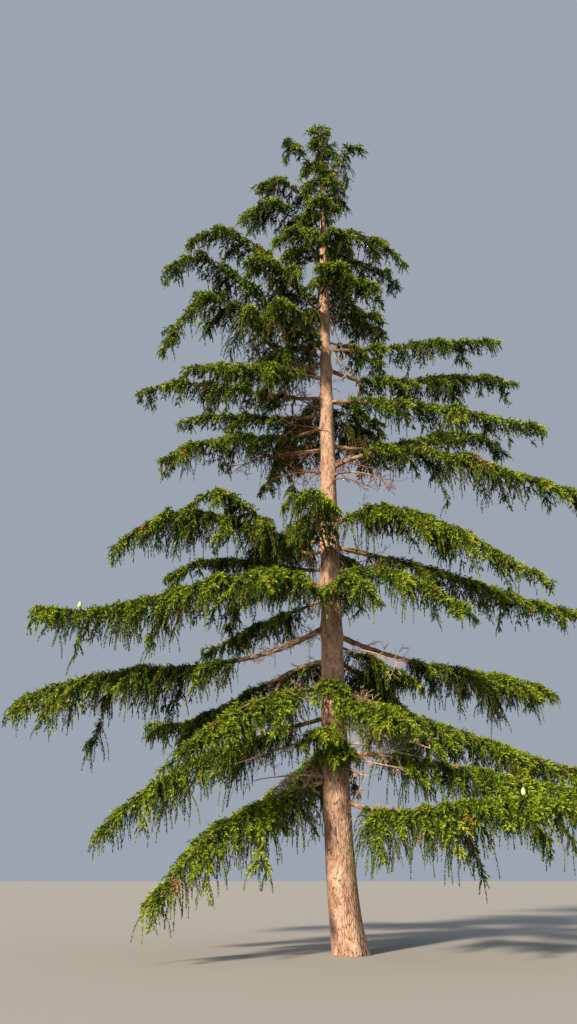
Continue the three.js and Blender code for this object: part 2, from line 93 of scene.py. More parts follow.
# %% [markdown]
# ## Helpers for materials and meshes
# Colours are picked as sRGB hex values, as a painter mixes them, and turned to the linear values that light
# is summed in. One function adds any node of a shader, with its settings and links.

# %% Colours and shader nodes
def linear(hex_colour):
    """An sRGB hex colour as the linear red, green, blue and alpha of a shader socket."""
    channels = [int(hex_colour[at:at + 2], 16) / 255 for at in (1, 3, 5)]
    return tuple(c / 12.92 if c <= 0.04045 else ((c + 0.055) / 1.055) ** 2.4 for c in channels) + (1.0,)


def add_node(tree, kind, settings=None, inputs=None, stops=()):
    """Adds a node; inputs are values, or the sockets that feed it, and stops are a colour ramp's places."""
    node = tree.nodes.new("ShaderNode" + kind)
    for name, value in (settings or {}).items():
        setattr(node, name, value)
    for name, value in (inputs or {}).items():
        if isinstance(value, bpy.types.NodeSocket):
            tree.links.new(value, node.inputs[name])
        else:
            node.inputs[name].default_value = value
    for index, (place, colour) in enumerate(stops):
        element = node.color_ramp.elements[index] if index < 2 else node.color_ramp.elements.new(place)
        element.position = place
        element.color = linear(colour)
    return node


def start_material(name, colour, roughness, specular=0.5):
    """A material with one Principled shader; returns it with its node tree and that shader."""
    material = bpy.data.materials.new(name)
    material.use_nodes = True
    shader = material.node_tree.nodes["Principled BSDF"]
    shader.inputs["Base Color"].default_value = linear(colour)
    shader.inputs["Roughness"].default_value = roughness
    shader.inputs["Specular IOR Level"].default_value = specular
    material.diffuse_color = linear(colour)
    return material, material.node_tree, shader


# %% [markdown]
# Meshes of many thousand faces are filled from arrays in one go, because adding faces one by one would take
# minutes. Every piece rides on the tree's one body and names the solids that it stands for.

# %% Meshes from arrays
def make_piece(name, points, faces, materials, nodes=(), slots=None, smooth=False, values=None):
    """A mesh from arrays of points and faces that rides on the tree and stands for its solids."""
    mesh = bpy.data.meshes.new(name)
    mesh.vertices.add(len(points))
    mesh.vertices.foreach_set("co", np.asarray(points, np.float32).ravel())
    mesh.loops.add(faces.size)
    mesh.loops.foreach_set("vertex_index", np.asarray(faces, np.int32).ravel())
    mesh.polygons.add(len(faces))
    mesh.polygons.foreach_set("loop_start", np.arange(0, faces.size, faces.shape[1], dtype=np.int32))
    if slots is not None:
        mesh.polygons.foreach_set("material_index", np.asarray(slots, np.int32))
    mesh.polygons.foreach_set("use_smooth", np.full(len(faces), smooth))
    for key, numbers in (values or {}).items():
        mesh.attributes.new(key, "FLOAT", "POINT").data.foreach_set("value", np.asarray(numbers, np.float32))
    mesh.update(calc_edges=True)
    for material in materials:
        mesh.materials.append(material)
    piece = add_object(name, mesh)
    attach(piece, "root")
    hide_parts(*nodes)
    print(name, "has", len(faces) * (faces.shape[1] - 2), "triangles and stands for", len(nodes), "solids")


def grid_faces(rows, columns):
    """Quads of a grid of points, row by row, closed from the last column to the first."""
    row, column = np.meshgrid(np.arange(rows - 1), np.arange(columns), indexing="ij")
    a = row * columns + column
    b = row * columns + (column + 1) % columns
    return np.stack([a, b, b + columns, a + columns], axis=-1).reshape(-1, 4)


def joined(parts):
    """Joins several (points, faces, values...) into one, with the faces renumbered."""
    starts = np.cumsum([0] + [len(part[0]) for part in parts[:-1]])
    faces = np.concatenate([part[1] + start for part, start in zip(parts, starts)])
    points, *values = (np.concatenate([part[at] for part in parts]) for at in range(len(parts[0])) if at != 1)
    return (points, faces, *values)


# %% [markdown]
# ## The tree's own rule
# The solids were grown from a short table of limbs: height at the trunk, bearing in degrees from the right of
# the picture, reach, rise at one third, two thirds and the tip, and the fullness that stretches its twigs.
# The inner share of three limbs is bare. The same table, formulas and seeded numbers are written again here,
# in metres, so that each limb of the lesson lies where its solid lies.

# %% Table of the limbs
LIMBS = {"left": [
    (3.6, 215, 4.5, -0.5, -1.2, -2.65, 1.3),
    (5.0, 198, 5.2, -0.55, -1.25, -2.6, 1.3),
    (6.3, 150, 5.5, -0.3, -0.95, -1.05, 1.1),
    (7.25, 182, 7.45, -0.95, -1.25, -2.0, 1.3),
    (8.1, 198, 7.0, 0.15, -0.7, -1.15, 1.3),
    (8.65, 165, 4.6, 0.3, 0.6, 0.15, 0.8),
    (9.45, 194, 5.45, 0.15, 0.4, -0.75, 1.2),
    (12.9, 170, 4.75, -0.2, -0.15, -0.7, 1.2),
    (13.3, 150, 5.2, 0.4, 1.0, 1.2, 0.8),
    (13.8, 176, 5.4, 0.3, 0.7, 0.35, 0.8),
    (14.4, 214, 4.4, -0.2, -0.65, -1.3, 1.1),
    (15.1, 198, 4.7, 0.15, 1.35, -0.75, 1.5),
    (16.15, 192, 4.75, 0.55, 1.85, 1.35, 1.05),
    (17.1, 200, 4.2, 0.8, 1.75, 1.0, 1.1),
    (19.6, 190, 2.6, 0.75, 1.05, 0.3, 1.4),
    (20.9, 175, 2.1, 0.7, 1.25, 0.85, 1.1),
    (21.9, 185, 1.2, 0.9, 1.5, 1.65, 1.1),
    (16.7, 224, 3.0, 0.3, 0.6, 0.3, 1.4),
    (9.3, 204, 4.0, 0.0, 0.9, 0.1, 0.9),
    (5.6, 228, 4.6, -0.3, -0.9, -1.9, 1.2),
], "right": [
    (3.2, 318, 5.8, -0.45, -0.35, -0.6, 1.3),
    (4.1, 343, 6.3, -0.25, -0.75, -1.15, 1.3),
    (5.6, 10, 6.8, -0.75, -1.45, -2.0, 1.2),
    (7.0, 30, 7.2, -0.5, -0.6, -0.75, 1.1),
    (8.5, 318, 3.9, -0.15, -0.75, -1.85, 0.9),
    (9.3, 20, 7.7, -0.4, -0.85, -1.0, 0.85),
    (9.75, 344, 5.25, 0.3, -0.65, -1.9, 1.15),
    (11.5, 350, 6.6, 0.28, -0.5, -1.3, 1.0),
    (12.3, 22, 6.0, 0.3, 1.05, 0.85, 0.75),
    (13.65, 341, 5.65, -0.5, -1.2, -1.95, 0.95),
    (14.8, 15, 6.0, -0.3, 0.2, 0.45, 0.95),
    (15.45, 357, 4.9, -0.15, -0.05, 0.05, 0.85),
    (16.6, 40, 2.5, 0.35, 0.4, 0.45, 0.9),
    (17.6, 352, 1.75, 0.15, 0.1, -0.75, 1.0),
    (18.4, 20, 2.55, 0.35, 0.35, 0.0, 0.9),
    (19.1, 340, 2.5, 0.2, -0.2, -1.25, 1.0),
    (21.4, 345, 1.3, 0.75, 1.5, 1.75, 1.0),
], "front": [
    (5.3, 300, 3.2, -0.2, -0.5, -1.2, 1.0),
    (7.8, 236, 3.7, 0.15, 0.1, -0.5, 1.2),
    (8.9, 256, 2.6, 0.5, 0.95, 0.7, 1.2),
    (7.5, 283, 2.6, 0.3, 0.35, -0.2, 1.0),
    (15.3, 236, 2.7, 0.2, 0.4, 0.1, 1.2),
    (17.2, 282, 1.8, 0.15, 0.15, -0.1, 1.2),
    (18.2, 240, 2.1, 0.45, 0.5, 0.1, 1.2),
    (19.9, 266, 1.4, 0.25, 0.3, 0.05, 1.0),
], "back": [
    (4.5, 104, 6.0, -0.4, -0.9, -1.7, 1.2),
    (6.4, 66, 6.4, -0.3, -0.8, -1.6, 1.2),
    (10.6, 112, 5.8, 0.1, -0.1, -1.0, 1.0),
    (14.3, 102, 5.1, 0.1, 0.3, 0.1, 1.0),
    (15.9, 131, 4.2, 0.3, 0.6, 0.3, 1.0),
    (18.4, 80, 3.0, 0.5, 0.8, 0.4, 1.0),
    (20.8, 110, 1.9, 0.5, 0.8, 0.6, 1.0),
    (7.9, 156, 3.6, -0.25, -0.6, -1.1, 1.0),
]}
BARE_SHARES = {"left_03": 0.34, "left_04": 0.3, "right_04": 0.3}
print({side: len(rows) for side, rows in LIMBS.items()}, "green limbs")

# %% [markdown]
# Short limbs fill the spaces close to the trunk and have no solids of their own, because each is small beside
# the masses. Two limbs halfway up are dead and carry no needles, and one limb has a thick fork that hangs
# from its bare stretch.

# %% Short limbs, dead limbs and a fork
SHORT_LIMBS = [
    (4.45, 252, 1.5, 0.1, 0.05, -0.15, 1.0),
    (4.15, 283, 1.1, 0.05, 0.0, -0.2, 0.9),
    (5.65, 262, 1.3, 0.05, -0.1, -0.4, 0.9),
    (9.2, 72, 3.2, 0.1, 0.0, -0.7, 1.0),
    (13.2, 62, 3.0, 0.1, 0.1, -0.4, 1.0),
    (12.6, 124, 3.0, 0.1, 0.1, -0.5, 1.0),
    (17.2, 112, 2.7, 0.2, 0.3, -0.1, 1.0),
    (19.6, 62, 2.0, 0.3, 0.4, 0.1, 1.0),
    (19.5, 128, 1.9, 0.3, 0.4, 0.1, 1.0),
    (6.3, 126, 3.2, 0.0, -0.3, -1.0, 1.0),
    (21.35, 262, 0.8, 0.15, 0.15, -0.05, 1.2),
    (21.6, 60, 1.0, 0.25, 0.3, 0.1, 1.2),
    (18.9, 292, 1.2, 0.15, 0.2, 0.0, 1.1),
    (15.7, 25, 2.0, 0.0, -0.2, -0.7, 0.9),
    (13.6, 18, 1.7, 0.0, -0.3, -0.8, 0.9),
    (16.9, 10, 1.8, 0.1, 0.0, -0.3, 0.9),
    (9.95, 335, 3.2, 0.05, -0.2, -0.9, 1.2),
    (6.75, 35, 2.6, -0.25, -0.45, -0.6, 1.0),
]
DEAD_LIMBS = [(12.2, 158, 3.0, 0.1, 0.15, -0.3), (11.35, 328, 1.9, -0.1, -0.35, -0.9)]
FORKS = {"left_03": (0.27, (-0.34, 0.0, -1.0))}  # place on the limb, and how far the fork's end is from there
print(len(SHORT_LIMBS), "short limbs,", len(DEAD_LIMBS), "dead limbs,", len(FORKS), "fork")

# %% [markdown]
# The trunk tapers evenly, flares at the foot and leans a little before it rises plumb. Random numbers come
# from the same small generator as in the solids' source, so a limb sways the same way here and there.

# %% Random numbers and the trunk's formulas
SEED, SEED_STEP = 1907, 97
DICE_FACTOR, DICE_LIMIT = 16807, 2147483647
TREE_HEIGHT = 24.5
TRUNK_TOP = 22.25
TRUNK_RADIUS = 0.345
TRUNK_TAPER = 0.85
FLARE_RADIUS, FLARE_HEIGHT = 0.065, 0.45
TRUNK_LEAN, LEAN_HEIGHT = 0.24, 1.5


class Dice:
    """Repeatable random numbers from 0 to 1, a new row of them for every number."""

    def __init__(self, number):
        self.state = SEED + SEED_STEP * number

    def between(self, least, most):
        self.state = self.state * DICE_FACTOR % DICE_LIMIT
        return least + (most - least) * self.state / DICE_LIMIT


def trunk_middle(height):
    return -TRUNK_LEAN * (1 - np.exp(-height / LEAN_HEIGHT))


def trunk_radius(height):
    taper = np.clip(1 - height / TREE_HEIGHT, 0, 1) ** TRUNK_TAPER
    return TRUNK_RADIUS * taper + FLARE_RADIUS * np.exp(-height / FLARE_HEIGHT)


def unit(vectors):
    return vectors / np.maximum(np.linalg.norm(vectors, axis=-1, keepdims=True), 1e-9)


def turned(first, second, angle):
    """Directions turned from the first toward the second by an angle."""
    return first * np.cos(angle)[..., None] + second * np.sin(angle)[..., None]


print("trunk", round(2 * trunk_radius(0.0), 2), "m across at the foot")

# %% [markdown]
# A limb's middle line is a cubic through its three rises, with a slight sideways sway. The leading shoot goes
# on where the trunk ends and nods, as it does on every deodar. A fork hangs from its limb in a shallow arch.

# %% Formulas of the limbs
LIMB_RADIUS = 0.02
LIMB_RADIUS_PER_METRE = 0.0065
LIMB_TIP_RADIUS = 0.009
LIMB_TAPER = 0.8
LIMB_SWAY = 0.035
LIMB_ROOT = 0.3
TANGENT_STEP = 0.002
LEADER_LENGTH = 2.2
NOD, NOD_FROM, NOD_LENGTH, NOD_POWER = 0.16, 0.6, 1.6, 2.95
FORK_RADIUS, FORK_ARCH = 0.06, 0.35


UP = np.array([0.0, 0.0, 1.0])


class Limb:
    """The middle line of a limb, from the middle of the trunk to its tip, with its radius."""

    reference = UP
    all_round = False

    def __init__(self, name, row, number):
        self.name, self.bare = name, BARE_SHARES.get(name, 0)
        self.height, bearing, self.reach, near, far, tip, self.fullness = row
        self.bearing = math.radians(bearing)
        self.rises = (near, far, tip)
        self.dice = Dice(number)
        self.sway = self.dice.between(-LIMB_SWAY, LIMB_SWAY) * self.reach
        self.root_at = LIMB_ROOT * trunk_radius(self.height) / self.reach
        self.start = self.bare if self.bare > 0 else self.root_at

    def points(self, t):
        near, far, tip = self.rises
        rise = 13.5 * t * (1 - t) * (near * (2 / 3 - t) + far * (t - 1 / 3))
        rise = rise + 4.5 * t * (t - 1 / 3) * (t - 2 / 3) * tip
        sway = self.sway * np.sin(math.pi * t)
        out = self.reach * t
        x = trunk_middle(self.height) + out * math.cos(self.bearing) - sway * math.sin(self.bearing)
        y = out * math.sin(self.bearing) + sway * math.cos(self.bearing)
        return np.stack([x, y, self.height + rise], axis=-1)

    def radius(self, t):
        root = LIMB_RADIUS + LIMB_RADIUS_PER_METRE * self.reach
        return LIMB_TIP_RADIUS + (root - LIMB_TIP_RADIUS) * (1 - t) ** LIMB_TAPER

    def tangents(self, t):
        return unit(self.points(t + TANGENT_STEP) - self.points(t - TANGENT_STEP))


class Leader(Limb):
    """The nodding leading shoot above the trunk."""

    reference = np.array([1.0, 0.0, 0.0])
    all_round = True

    def __init__(self):
        self.name, self.height, self.reach, self.fullness = "leader", TRUNK_TOP, LEADER_LENGTH, 1.0
        self.start = self.root_at = 0.0
        self.dice = Dice(0)

    def points(self, t):
        nod = -NOD * np.clip((t * self.reach - NOD_FROM) / NOD_LENGTH, 0, 1) ** NOD_POWER
        x = trunk_middle(TRUNK_TOP) + nod
        return np.stack([x, 0 * t, TRUNK_TOP + t * self.reach], axis=-1)

    def radius(self, t):
        return trunk_radius(TRUNK_TOP) * (1 - t) + LIMB_TIP_RADIUS * t


class Fork(Limb):
    """A thick fork that hangs from a limb's bare stretch."""

    def __init__(self, parent, at, offset):
        self.name, self.height, self.reach = "fork", parent.height, float(np.linalg.norm(offset))
        self.parent, self.at, self.offset = parent, at, np.array(offset)
        self.root_at = 0.0

    def points(self, t):
        t = np.asarray(t)[..., None]
        arch = UP * FORK_ARCH * t * (1 - t)
        return self.parent.points(np.asarray(self.at)) + self.offset * t + arch

    def radius(self, t):
        return FORK_RADIUS * (1 - t) + LIMB_TIP_RADIUS * t


# %% [markdown]
# Every limb has its own row of random numbers, so a change to one leaves all others as they are.

# %% Lay out the limbs
FIRST_SHORT_ROW = 200


def grow_limbs(side, rows, first_number):
    """The limbs of one side, named side_01, side_02 and so on."""
    return [Limb(f"{side}_{index + 1:02d}", row, first_number + index) for index, row in enumerate(rows)]


limbs = []
for side, rows in LIMBS.items():
    limbs += grow_limbs(side, rows, len(limbs) + 1)
dead_limbs = grow_limbs("dead", [(*row, 1.0) for row in DEAD_LIMBS], len(limbs) + 1)
short_limbs = grow_limbs("short", SHORT_LIMBS, FIRST_SHORT_ROW)
leader = Leader()
forks = [Fork(limb, *FORKS[limb.name]) for limb in limbs if limb.name in FORKS]
print("green limbs are", round(sum(limb.reach for limb in limbs)), "m long in all")

# %% [markdown]
# ## Bark of the trunk
# The bark of a deodar splits into upright plates with dark cracks between them. A painted pattern would look
# flat where the light grazes the trunk, so the plates are real relief: a fine grid is wrapped round the trunk
# and moved in and out. The plates are cells round scattered seeds, stretched upright, and a crack runs where
# two cells meet. Real plates are 30 to 60 mm wide, and these are 43 mm at the foot and narrower above, where
# the bark is younger. The numbers inside the sines only let the rows of plates wander.

# %% Relief of the bark plates
PLATES_AROUND = 60
PLATE_HEIGHT = 0.2
CRACK_DEPTH = 0.016
CRACK_WIDTH, FLAKE_EDGE = 0.22, 0.35  # in shares of a plate and of a flake
FLAKES_AROUND, FLAKES_UP = 2, 3.1  # on each plate
PLATE_SEED, FLAKE_SEED = 11, 12


def cells(around, up, across, seed):
    """Distances to the nearest and second nearest of scattered seeds; it repeats after across cells."""
    rng = np.random.default_rng(seed)
    rows = int(up.max()) + 4
    jitter = rng.random((rows, across, 2))
    column, row = np.floor(around).astype(int), np.floor(up).astype(int)
    nearest = np.full(around.shape, 9.0)
    second = np.full(around.shape, 9.0)
    shade = np.zeros(around.shape)
    for row_step in (-1, 0, 1):
        for column_step in (-1, 0, 1):
            r = np.clip(row + row_step + 1, 0, rows - 1)
            c = (column + column_step) % across
            seed_x = column + column_step + jitter[r, c, 0]
            seed_y = row + row_step + jitter[r, c, 1]
            distance = np.hypot(around - seed_x, up - seed_y)
            closer = distance < nearest
            second = np.where(closer, nearest, np.minimum(second, distance))
            shade = np.where(closer, jitter[r, c, 0] * 0.5 + jitter[r, c, 1] * 0.5, shade)
            nearest = np.where(closer, distance, nearest)
    return nearest, second, shade


def smooth_step(low, high, value):
    share = np.clip((value - low) / (high - low), 0, 1)
    return share * share * (3 - 2 * share)


def bark_relief(angle, height):
    """How far the bark stands out in shares of the crack's depth, and each plate's own shade."""
    wander = 0.05 * np.sin(3 * angle + 2.1 * height) + 0.035 * np.sin(5 * angle - 5.3 * height + 1.3)
    around = (angle / (2 * math.pi) + wander * 0.25) * PLATES_AROUND
    up = height / PLATE_HEIGHT + 0.35 * np.sin(7 * angle + 0.8 * height) + 1
    nearest, second, shade = cells(around, up, PLATES_AROUND, PLATE_SEED)
    plate = smooth_step(0.0, CRACK_WIDTH, second - nearest)
    flakes = cells(around * FLAKES_AROUND, up * FLAKES_UP, PLATES_AROUND * FLAKES_AROUND, FLAKE_SEED)
    flake = smooth_step(0.0, FLAKE_EDGE, flakes[1] - flakes[0])
    return 0.75 * plate + 0.25 * flake * plate, 0.6 * shade + 0.4 * flakes[2]


print("plates", round(2000 * math.pi * trunk_radius(0.0) / PLATES_AROUND), "mm wide at the foot")

# %% [markdown]
# The trunk's grid follows the solid: its taper, its lean, and the ribs of its root flare. Where a limb
# springs, the bark swells to a collar round its root, as the wood there grows over the branch.

# %% Mesh of the trunk
TRUNK_COLUMNS, TRUNK_ROWS = 210, 440
ROWS_CROWD = 1.25  # more than 1 crowds the rows toward the foot
MIDDLE_RELIEF = 0.75
THIN_BARK = 0.25  # share of a crack's depth that is left toward the thin end
FLARE_LOBES, FLARE_LOBE_DEPTH = 5, 0.06
COLLAR_HEIGHT = 0.035
COLLAR_STRETCH = 0.6
COLLAR_SPREAD = 2.0  # in radii of the limb


def trunk_mesh():
    share = np.linspace(0, 1, TRUNK_ROWS) ** ROWS_CROWD
    turns = np.arange(TRUNK_COLUMNS) * 2 * math.pi / TRUNK_COLUMNS
    heights, angles = np.meshgrid(TRUNK_TOP * share, turns, indexing="ij")
    ribs = FLARE_LOBE_DEPTH * np.cos(FLARE_LOBES * angles) * np.exp(-heights / FLARE_HEIGHT)
    smooth_radius = trunk_radius(heights) * (1 + ribs)
    relief, shade = bark_relief(angles, heights)
    depth = CRACK_DEPTH * (THIN_BARK + (1 - THIN_BARK) * smooth_radius / TRUNK_RADIUS)
    radius = smooth_radius + depth * (relief - MIDDLE_RELIEF)
    x = trunk_middle(heights) + radius * np.cos(angles)
    y = radius * np.sin(angles)
    for limb in limbs + dead_limbs:
        spring = limb.points(np.array([trunk_radius(limb.height) / limb.reach]))[0]
        rise = COLLAR_STRETCH * (heights - spring[2])
        distance = np.sqrt((x - spring[0]) ** 2 + (y - spring[1]) ** 2 + rise ** 2)
        swell = COLLAR_HEIGHT * np.exp(-((distance / (COLLAR_SPREAD * limb.radius(0.0))) ** 2))
        x = x + swell * np.cos(angles)
        y = y + swell * np.sin(angles)
    points = np.stack([x, y, heights], axis=-1).reshape(-1, 3)
    return points, grid_faces(TRUNK_ROWS, TRUNK_COLUMNS), relief.ravel(), shade.ravel()


# %% [markdown]
# Bark is dead cork: dry, matt and warm. Its plates weather to pinkish tan, each a little different, and the
# cracks keep the dark brown of the inner bark. The relief and each plate's own shade are stored on the mesh,
# so that the colours change exactly where the shape does. Noise, 14 and 75 mm across, adds flakes and the
# grey of weather. A noise's scale counts waves in a metre, each two flakes wide. A Mix node takes its share
# at socket 0 and its colours at 6 and 7.

# %% Bark material and the trunk
def bark_material(name, crack, dark_plate, plate, pale_plate, flake_mm, weather_mm, bump_mm):
    material, tree, shader = start_material(name, plate, 0.88, 0.25)
    relief = add_node(tree, "Attribute", {"attribute_name": "relief"})
    shade = add_node(tree, "Attribute", {"attribute_name": "shade"})
    place = add_node(tree, "TexCoord")
    upright = add_node(tree, "Mapping", inputs={"Vector": place.outputs["Object"], "Scale": (1, 1, 0.35)})
    flakes = add_node(tree, "TexNoise", inputs={
        "Vector": upright.outputs[0], "Scale": 1000 / flake_mm / 2, "Detail": 4.0, "Roughness": 0.6})
    weather = add_node(tree, "TexNoise", inputs={
        "Vector": upright.outputs[0], "Scale": 1000 / weather_mm / 2, "Detail": 3.0})
    patches = add_node(tree, "MapRange", inputs={
        "Value": weather.outputs["Fac"], "From Min": 0.36, "From Max": 0.64, "To Max": 0.4})
    tone = add_node(tree, "Math", {"operation": "MULTIPLY_ADD"}, {
        0: shade.outputs["Fac"], 1: 0.6, 2: patches.outputs["Result"]})
    plates = add_node(tree, "ValToRGB", inputs={"Fac": tone.outputs[0]},
                      stops=((0.1, dark_plate), (0.85, pale_plate), (0.42, plate)))
    flaked = add_node(tree, "Mix", {"data_type": "RGBA", "blend_type": "MULTIPLY"}, {
        0: 0.45, 6: plates.outputs["Color"], 7: flakes.outputs["Color"]})
    depth = add_node(tree, "MapRange", inputs={
        "Value": relief.outputs["Fac"], "From Min": 0.1, "From Max": 0.7})
    colour = add_node(tree, "Mix", {"data_type": "RGBA"}, {
        0: depth.outputs["Result"], 6: linear(crack), 7: flaked.outputs[2]})
    bump = add_node(tree, "Bump", inputs={
        "Height": flakes.outputs["Fac"], "Strength": 0.6, "Distance": bump_mm / 1000})
    tree.links.new(colour.outputs[2], shader.inputs["Base Color"])
    tree.links.new(bump.outputs["Normal"], shader.inputs["Normal"])
    return material


trunk_bark = bark_material("weathered plated bark", "#553a2d", "#8c6855", "#c19a80", "#e4c4aa", 14, 75, 4)
trunk_points, trunk_faces, trunk_relief, trunk_shade = trunk_mesh()
make_piece("trunk_bark", trunk_points, trunk_faces, [trunk_bark], ["trunk"],
           smooth=True, values={"relief": trunk_relief, "shade": trunk_shade})

# %% [markdown]
# ## Limbs
# A limb is a long tapering tube. Its bark is thinner and darker than the trunk's, with small scales. Each
# limb gets a ring of points every 7 cm, pushed in and out by a few sine waves and by small cells, so that it
# never looks turned on a lathe. Its root is sunk in the trunk and its tip ends inside the needles.

# %% Mesh and bark of the limbs
RING_SPACING = 0.07
FEWEST_RINGS = 8
LIMB_SIDES = 12
SCALES_AROUND, SCALE_LENGTH, SCALE_EDGE = 6, 0.12, 0.35
BETWEEN_SCALES, SCALE_RISE = 0.97, 0.07  # in radii of the limb
SLANTING = np.array([0.31, 0.23, 0.92])  # hardly any twig runs along this direction


def sweep(points, radii, sides):
    """Rings of points round lines; points is (..., rings, 3), radii (..., rings) or (..., rings, sides)."""
    tangents = unit(np.gradient(points, axis=-2))
    side = unit(np.cross(np.broadcast_to(unit(SLANTING), tangents.shape), tangents))
    up = np.cross(tangents, side)
    angles = np.arange(sides) * 2 * math.pi / sides
    if radii.ndim == points.ndim - 1:
        radii = radii[..., None]
    around = np.cos(angles)[:, None] * side[..., None, :] + np.sin(angles)[:, None] * up[..., None, :]
    return points[..., None, :] + radii[..., None] * around


def limb_mesh(limb, seed):
    rings = max(int(limb.reach / RING_SPACING), FEWEST_RINGS)
    t = np.linspace(limb.root_at, 1.0, rings)
    angle = np.arange(LIMB_SIDES) * 2 * math.pi / LIMB_SIDES
    along = (t * limb.reach)[:, None]
    around = np.broadcast_to(angle / (2 * math.pi) * SCALES_AROUND, (rings, LIMB_SIDES))
    nearest, second, shade = cells(around, along / SCALE_LENGTH + 0 * angle + 1, SCALES_AROUND, seed)
    scale = smooth_step(0.0, SCALE_EDGE, second - nearest)
    knots = 0.10 * np.sin(23 * along + 3 * angle + seed) + 0.07 * np.sin(9.1 * along - 2 * angle + 2 * seed)
    radius = limb.radius(t)[:, None] * (BETWEEN_SCALES + SCALE_RISE * scale + knots)
    points = sweep(limb.points(t), radius, LIMB_SIDES)
    return points.reshape(-1, 3), grid_faces(rings, LIMB_SIDES), scale.ravel(), shade.ravel()


limb_bark = bark_material("scaly bark of the limbs", "#4a3528", "#75573f", "#a5835f", "#cfae8a", 12, 60, 3)
woody = limbs + [leader] + dead_limbs + short_limbs + forks
limb_parts = [limb_mesh(limb, seed) for seed, limb in enumerate(woody)]
limb_points, limb_faces, limb_relief, limb_shade = joined(limb_parts)
make_piece("limb_bark", limb_points, limb_faces, [limb_bark],
           [f"bough_{limb.name}" for limb in limbs if limb.bare > 0],
           smooth=True, values={"relief": limb_relief, "shade": limb_shade})

# %% [markdown]
# ## Shoots
# All that is finer than a limb is a bent shoot: a curve from its root over a bend to its tip. Thousands of
# them are kept as arrays and grown at once.

# %% Shoots as arrays
class Shoots:
    """Many bent shoots as arrays: root, bend, tip, length, and a tint score: how young the needles on each
    one are, raised by painted light and lowered by painted shade.
    """

    def __init__(self, root, bend, tip, size, fresh_and_lit):
        self.root, self.bend, self.tip, self.size, self.fresh_and_lit = root, bend, tip, size, fresh_and_lit

    def places(self, owner, share):
        """Points and directions at a share of the shoots that owner names."""
        s = share[..., None]
        root, bend, tip = self.root[owner], self.bend[owner], self.tip[owner]
        points = root * (1 - s) ** 2 + bend * 2 * s * (1 - s) + tip * s ** 2
        return points, unit((bend - root) * (1 - s) + (tip - bend) * s)

    def chosen(self, keep):
        return Shoots(self.root[keep], self.bend[keep], self.tip[keep], self.size[keep], self.fresh_and_lit[keep])


def together(groups):
    return Shoots(*(np.concatenate([getattr(group, part) for group in groups])
                    for part in ("root", "bend", "tip", "size", "fresh_and_lit")))


def thin_tubes(shoots, root_radius, tip_radius, rings, sides):
    """Many thin tapering tubes at once, with their faces."""
    share = np.broadcast_to(np.linspace(0, 1, rings), (len(shoots.size), rings))
    points, _ = shoots.places(np.arange(len(shoots.size))[:, None], share)
    radii = np.asarray(root_radius)[:, None] * (1 - share) + tip_radius * share
    tubes = sweep(points, radii, sides).reshape(-1, 3)
    offsets = np.arange(len(shoots.size)) * rings * sides
    return tubes, (grid_faces(rings, sides)[None] + offsets[:, None, None]).reshape(-1, 4)


# %% [markdown]
# ## Side twigs
# Twigs spread to the left and right of a limb in one layer, and all round the leading shoot. They leave the
# limb level and then arch down, so a whole limb is draped like a tent. The leading twigs have the same
# numbers as in the solids. Between them the same rule grows finer twigs, shorter than their neighbours, until
# the layer is closed. Only the outer half of a limb's own stem carries needles. The inner half shows its
# bark.

# %% Side twigs of a limb
GOLDEN_ANGLE = 137.5
TWIGS, TWIGS_PER_METRE, FEWEST_TWIGS, MOST_TWIGS = 3.6, 0.5, 5, 7
SPREAD, SPREAD_PER_METRE, LEADER_SPREAD = 0.5, 0.145, 0.8
SPREAD_AT_ENDS, SPREAD_FALL = 0.45, 0.35
TWIG_LENGTH, TWIG_ANGLE, TWIG_DROOP = (0.85, 1.15), (51, 65), (0.4, 0.75)
TWIG_BEND, TWIG_ARCH = 0.55, 0.1
LEADER_TWIGS = 12
TOOTH_SPACING = 0.45
FINE_TWIG_SPACING = 0.08
FINE_TWIG_LENGTH = (0.3, 0.8)
BARE_STEM, LEAFY_STEM = 0.14, 0.5
STEM_PIECE, FEWEST_PIECES = 0.4, 3
FRESH_INSIDE, FRESHER_OUTSIDE = 0.1, 0.1


def twigs_at(limb, along, turn, share, angle, droop):
    """Side twigs at shares of a limb's leafy stretch."""
    longest = (LEADER_SPREAD if limb.all_round else SPREAD + SPREAD_PER_METRE * limb.reach) * limb.fullness
    spread = SPREAD_AT_ENDS + (1 - SPREAD_AT_ENDS) * np.sin(math.pi * along)
    length = longest * spread * (1 - SPREAD_FALL * along) * share
    at = limb.start + (1 - limb.start) * along
    tangent = limb.tangents(at)
    side = unit(np.cross(np.broadcast_to(limb.reference, tangent.shape), tangent))
    outward = turned(side, np.cross(tangent, side), turn)
    heading = turned(tangent, outward, np.radians(angle))
    root = limb.points(at)
    tip = root + heading * length[:, None]
    tip[:, 2] -= droop * length
    bend = root + heading * (length * TWIG_BEND)[:, None]
    bend[:, 2] += TWIG_ARCH * length
    twigs = Shoots(root, bend, tip, length, FRESH_INSIDE + FRESHER_OUTSIDE * at)
    return twigs.chosen((at > BARE_STEM) | limb.all_round)


def twig_turns(limb, index):
    return np.radians(GOLDEN_ANGLE * index) if limb.all_round else math.pi * (index % 2)


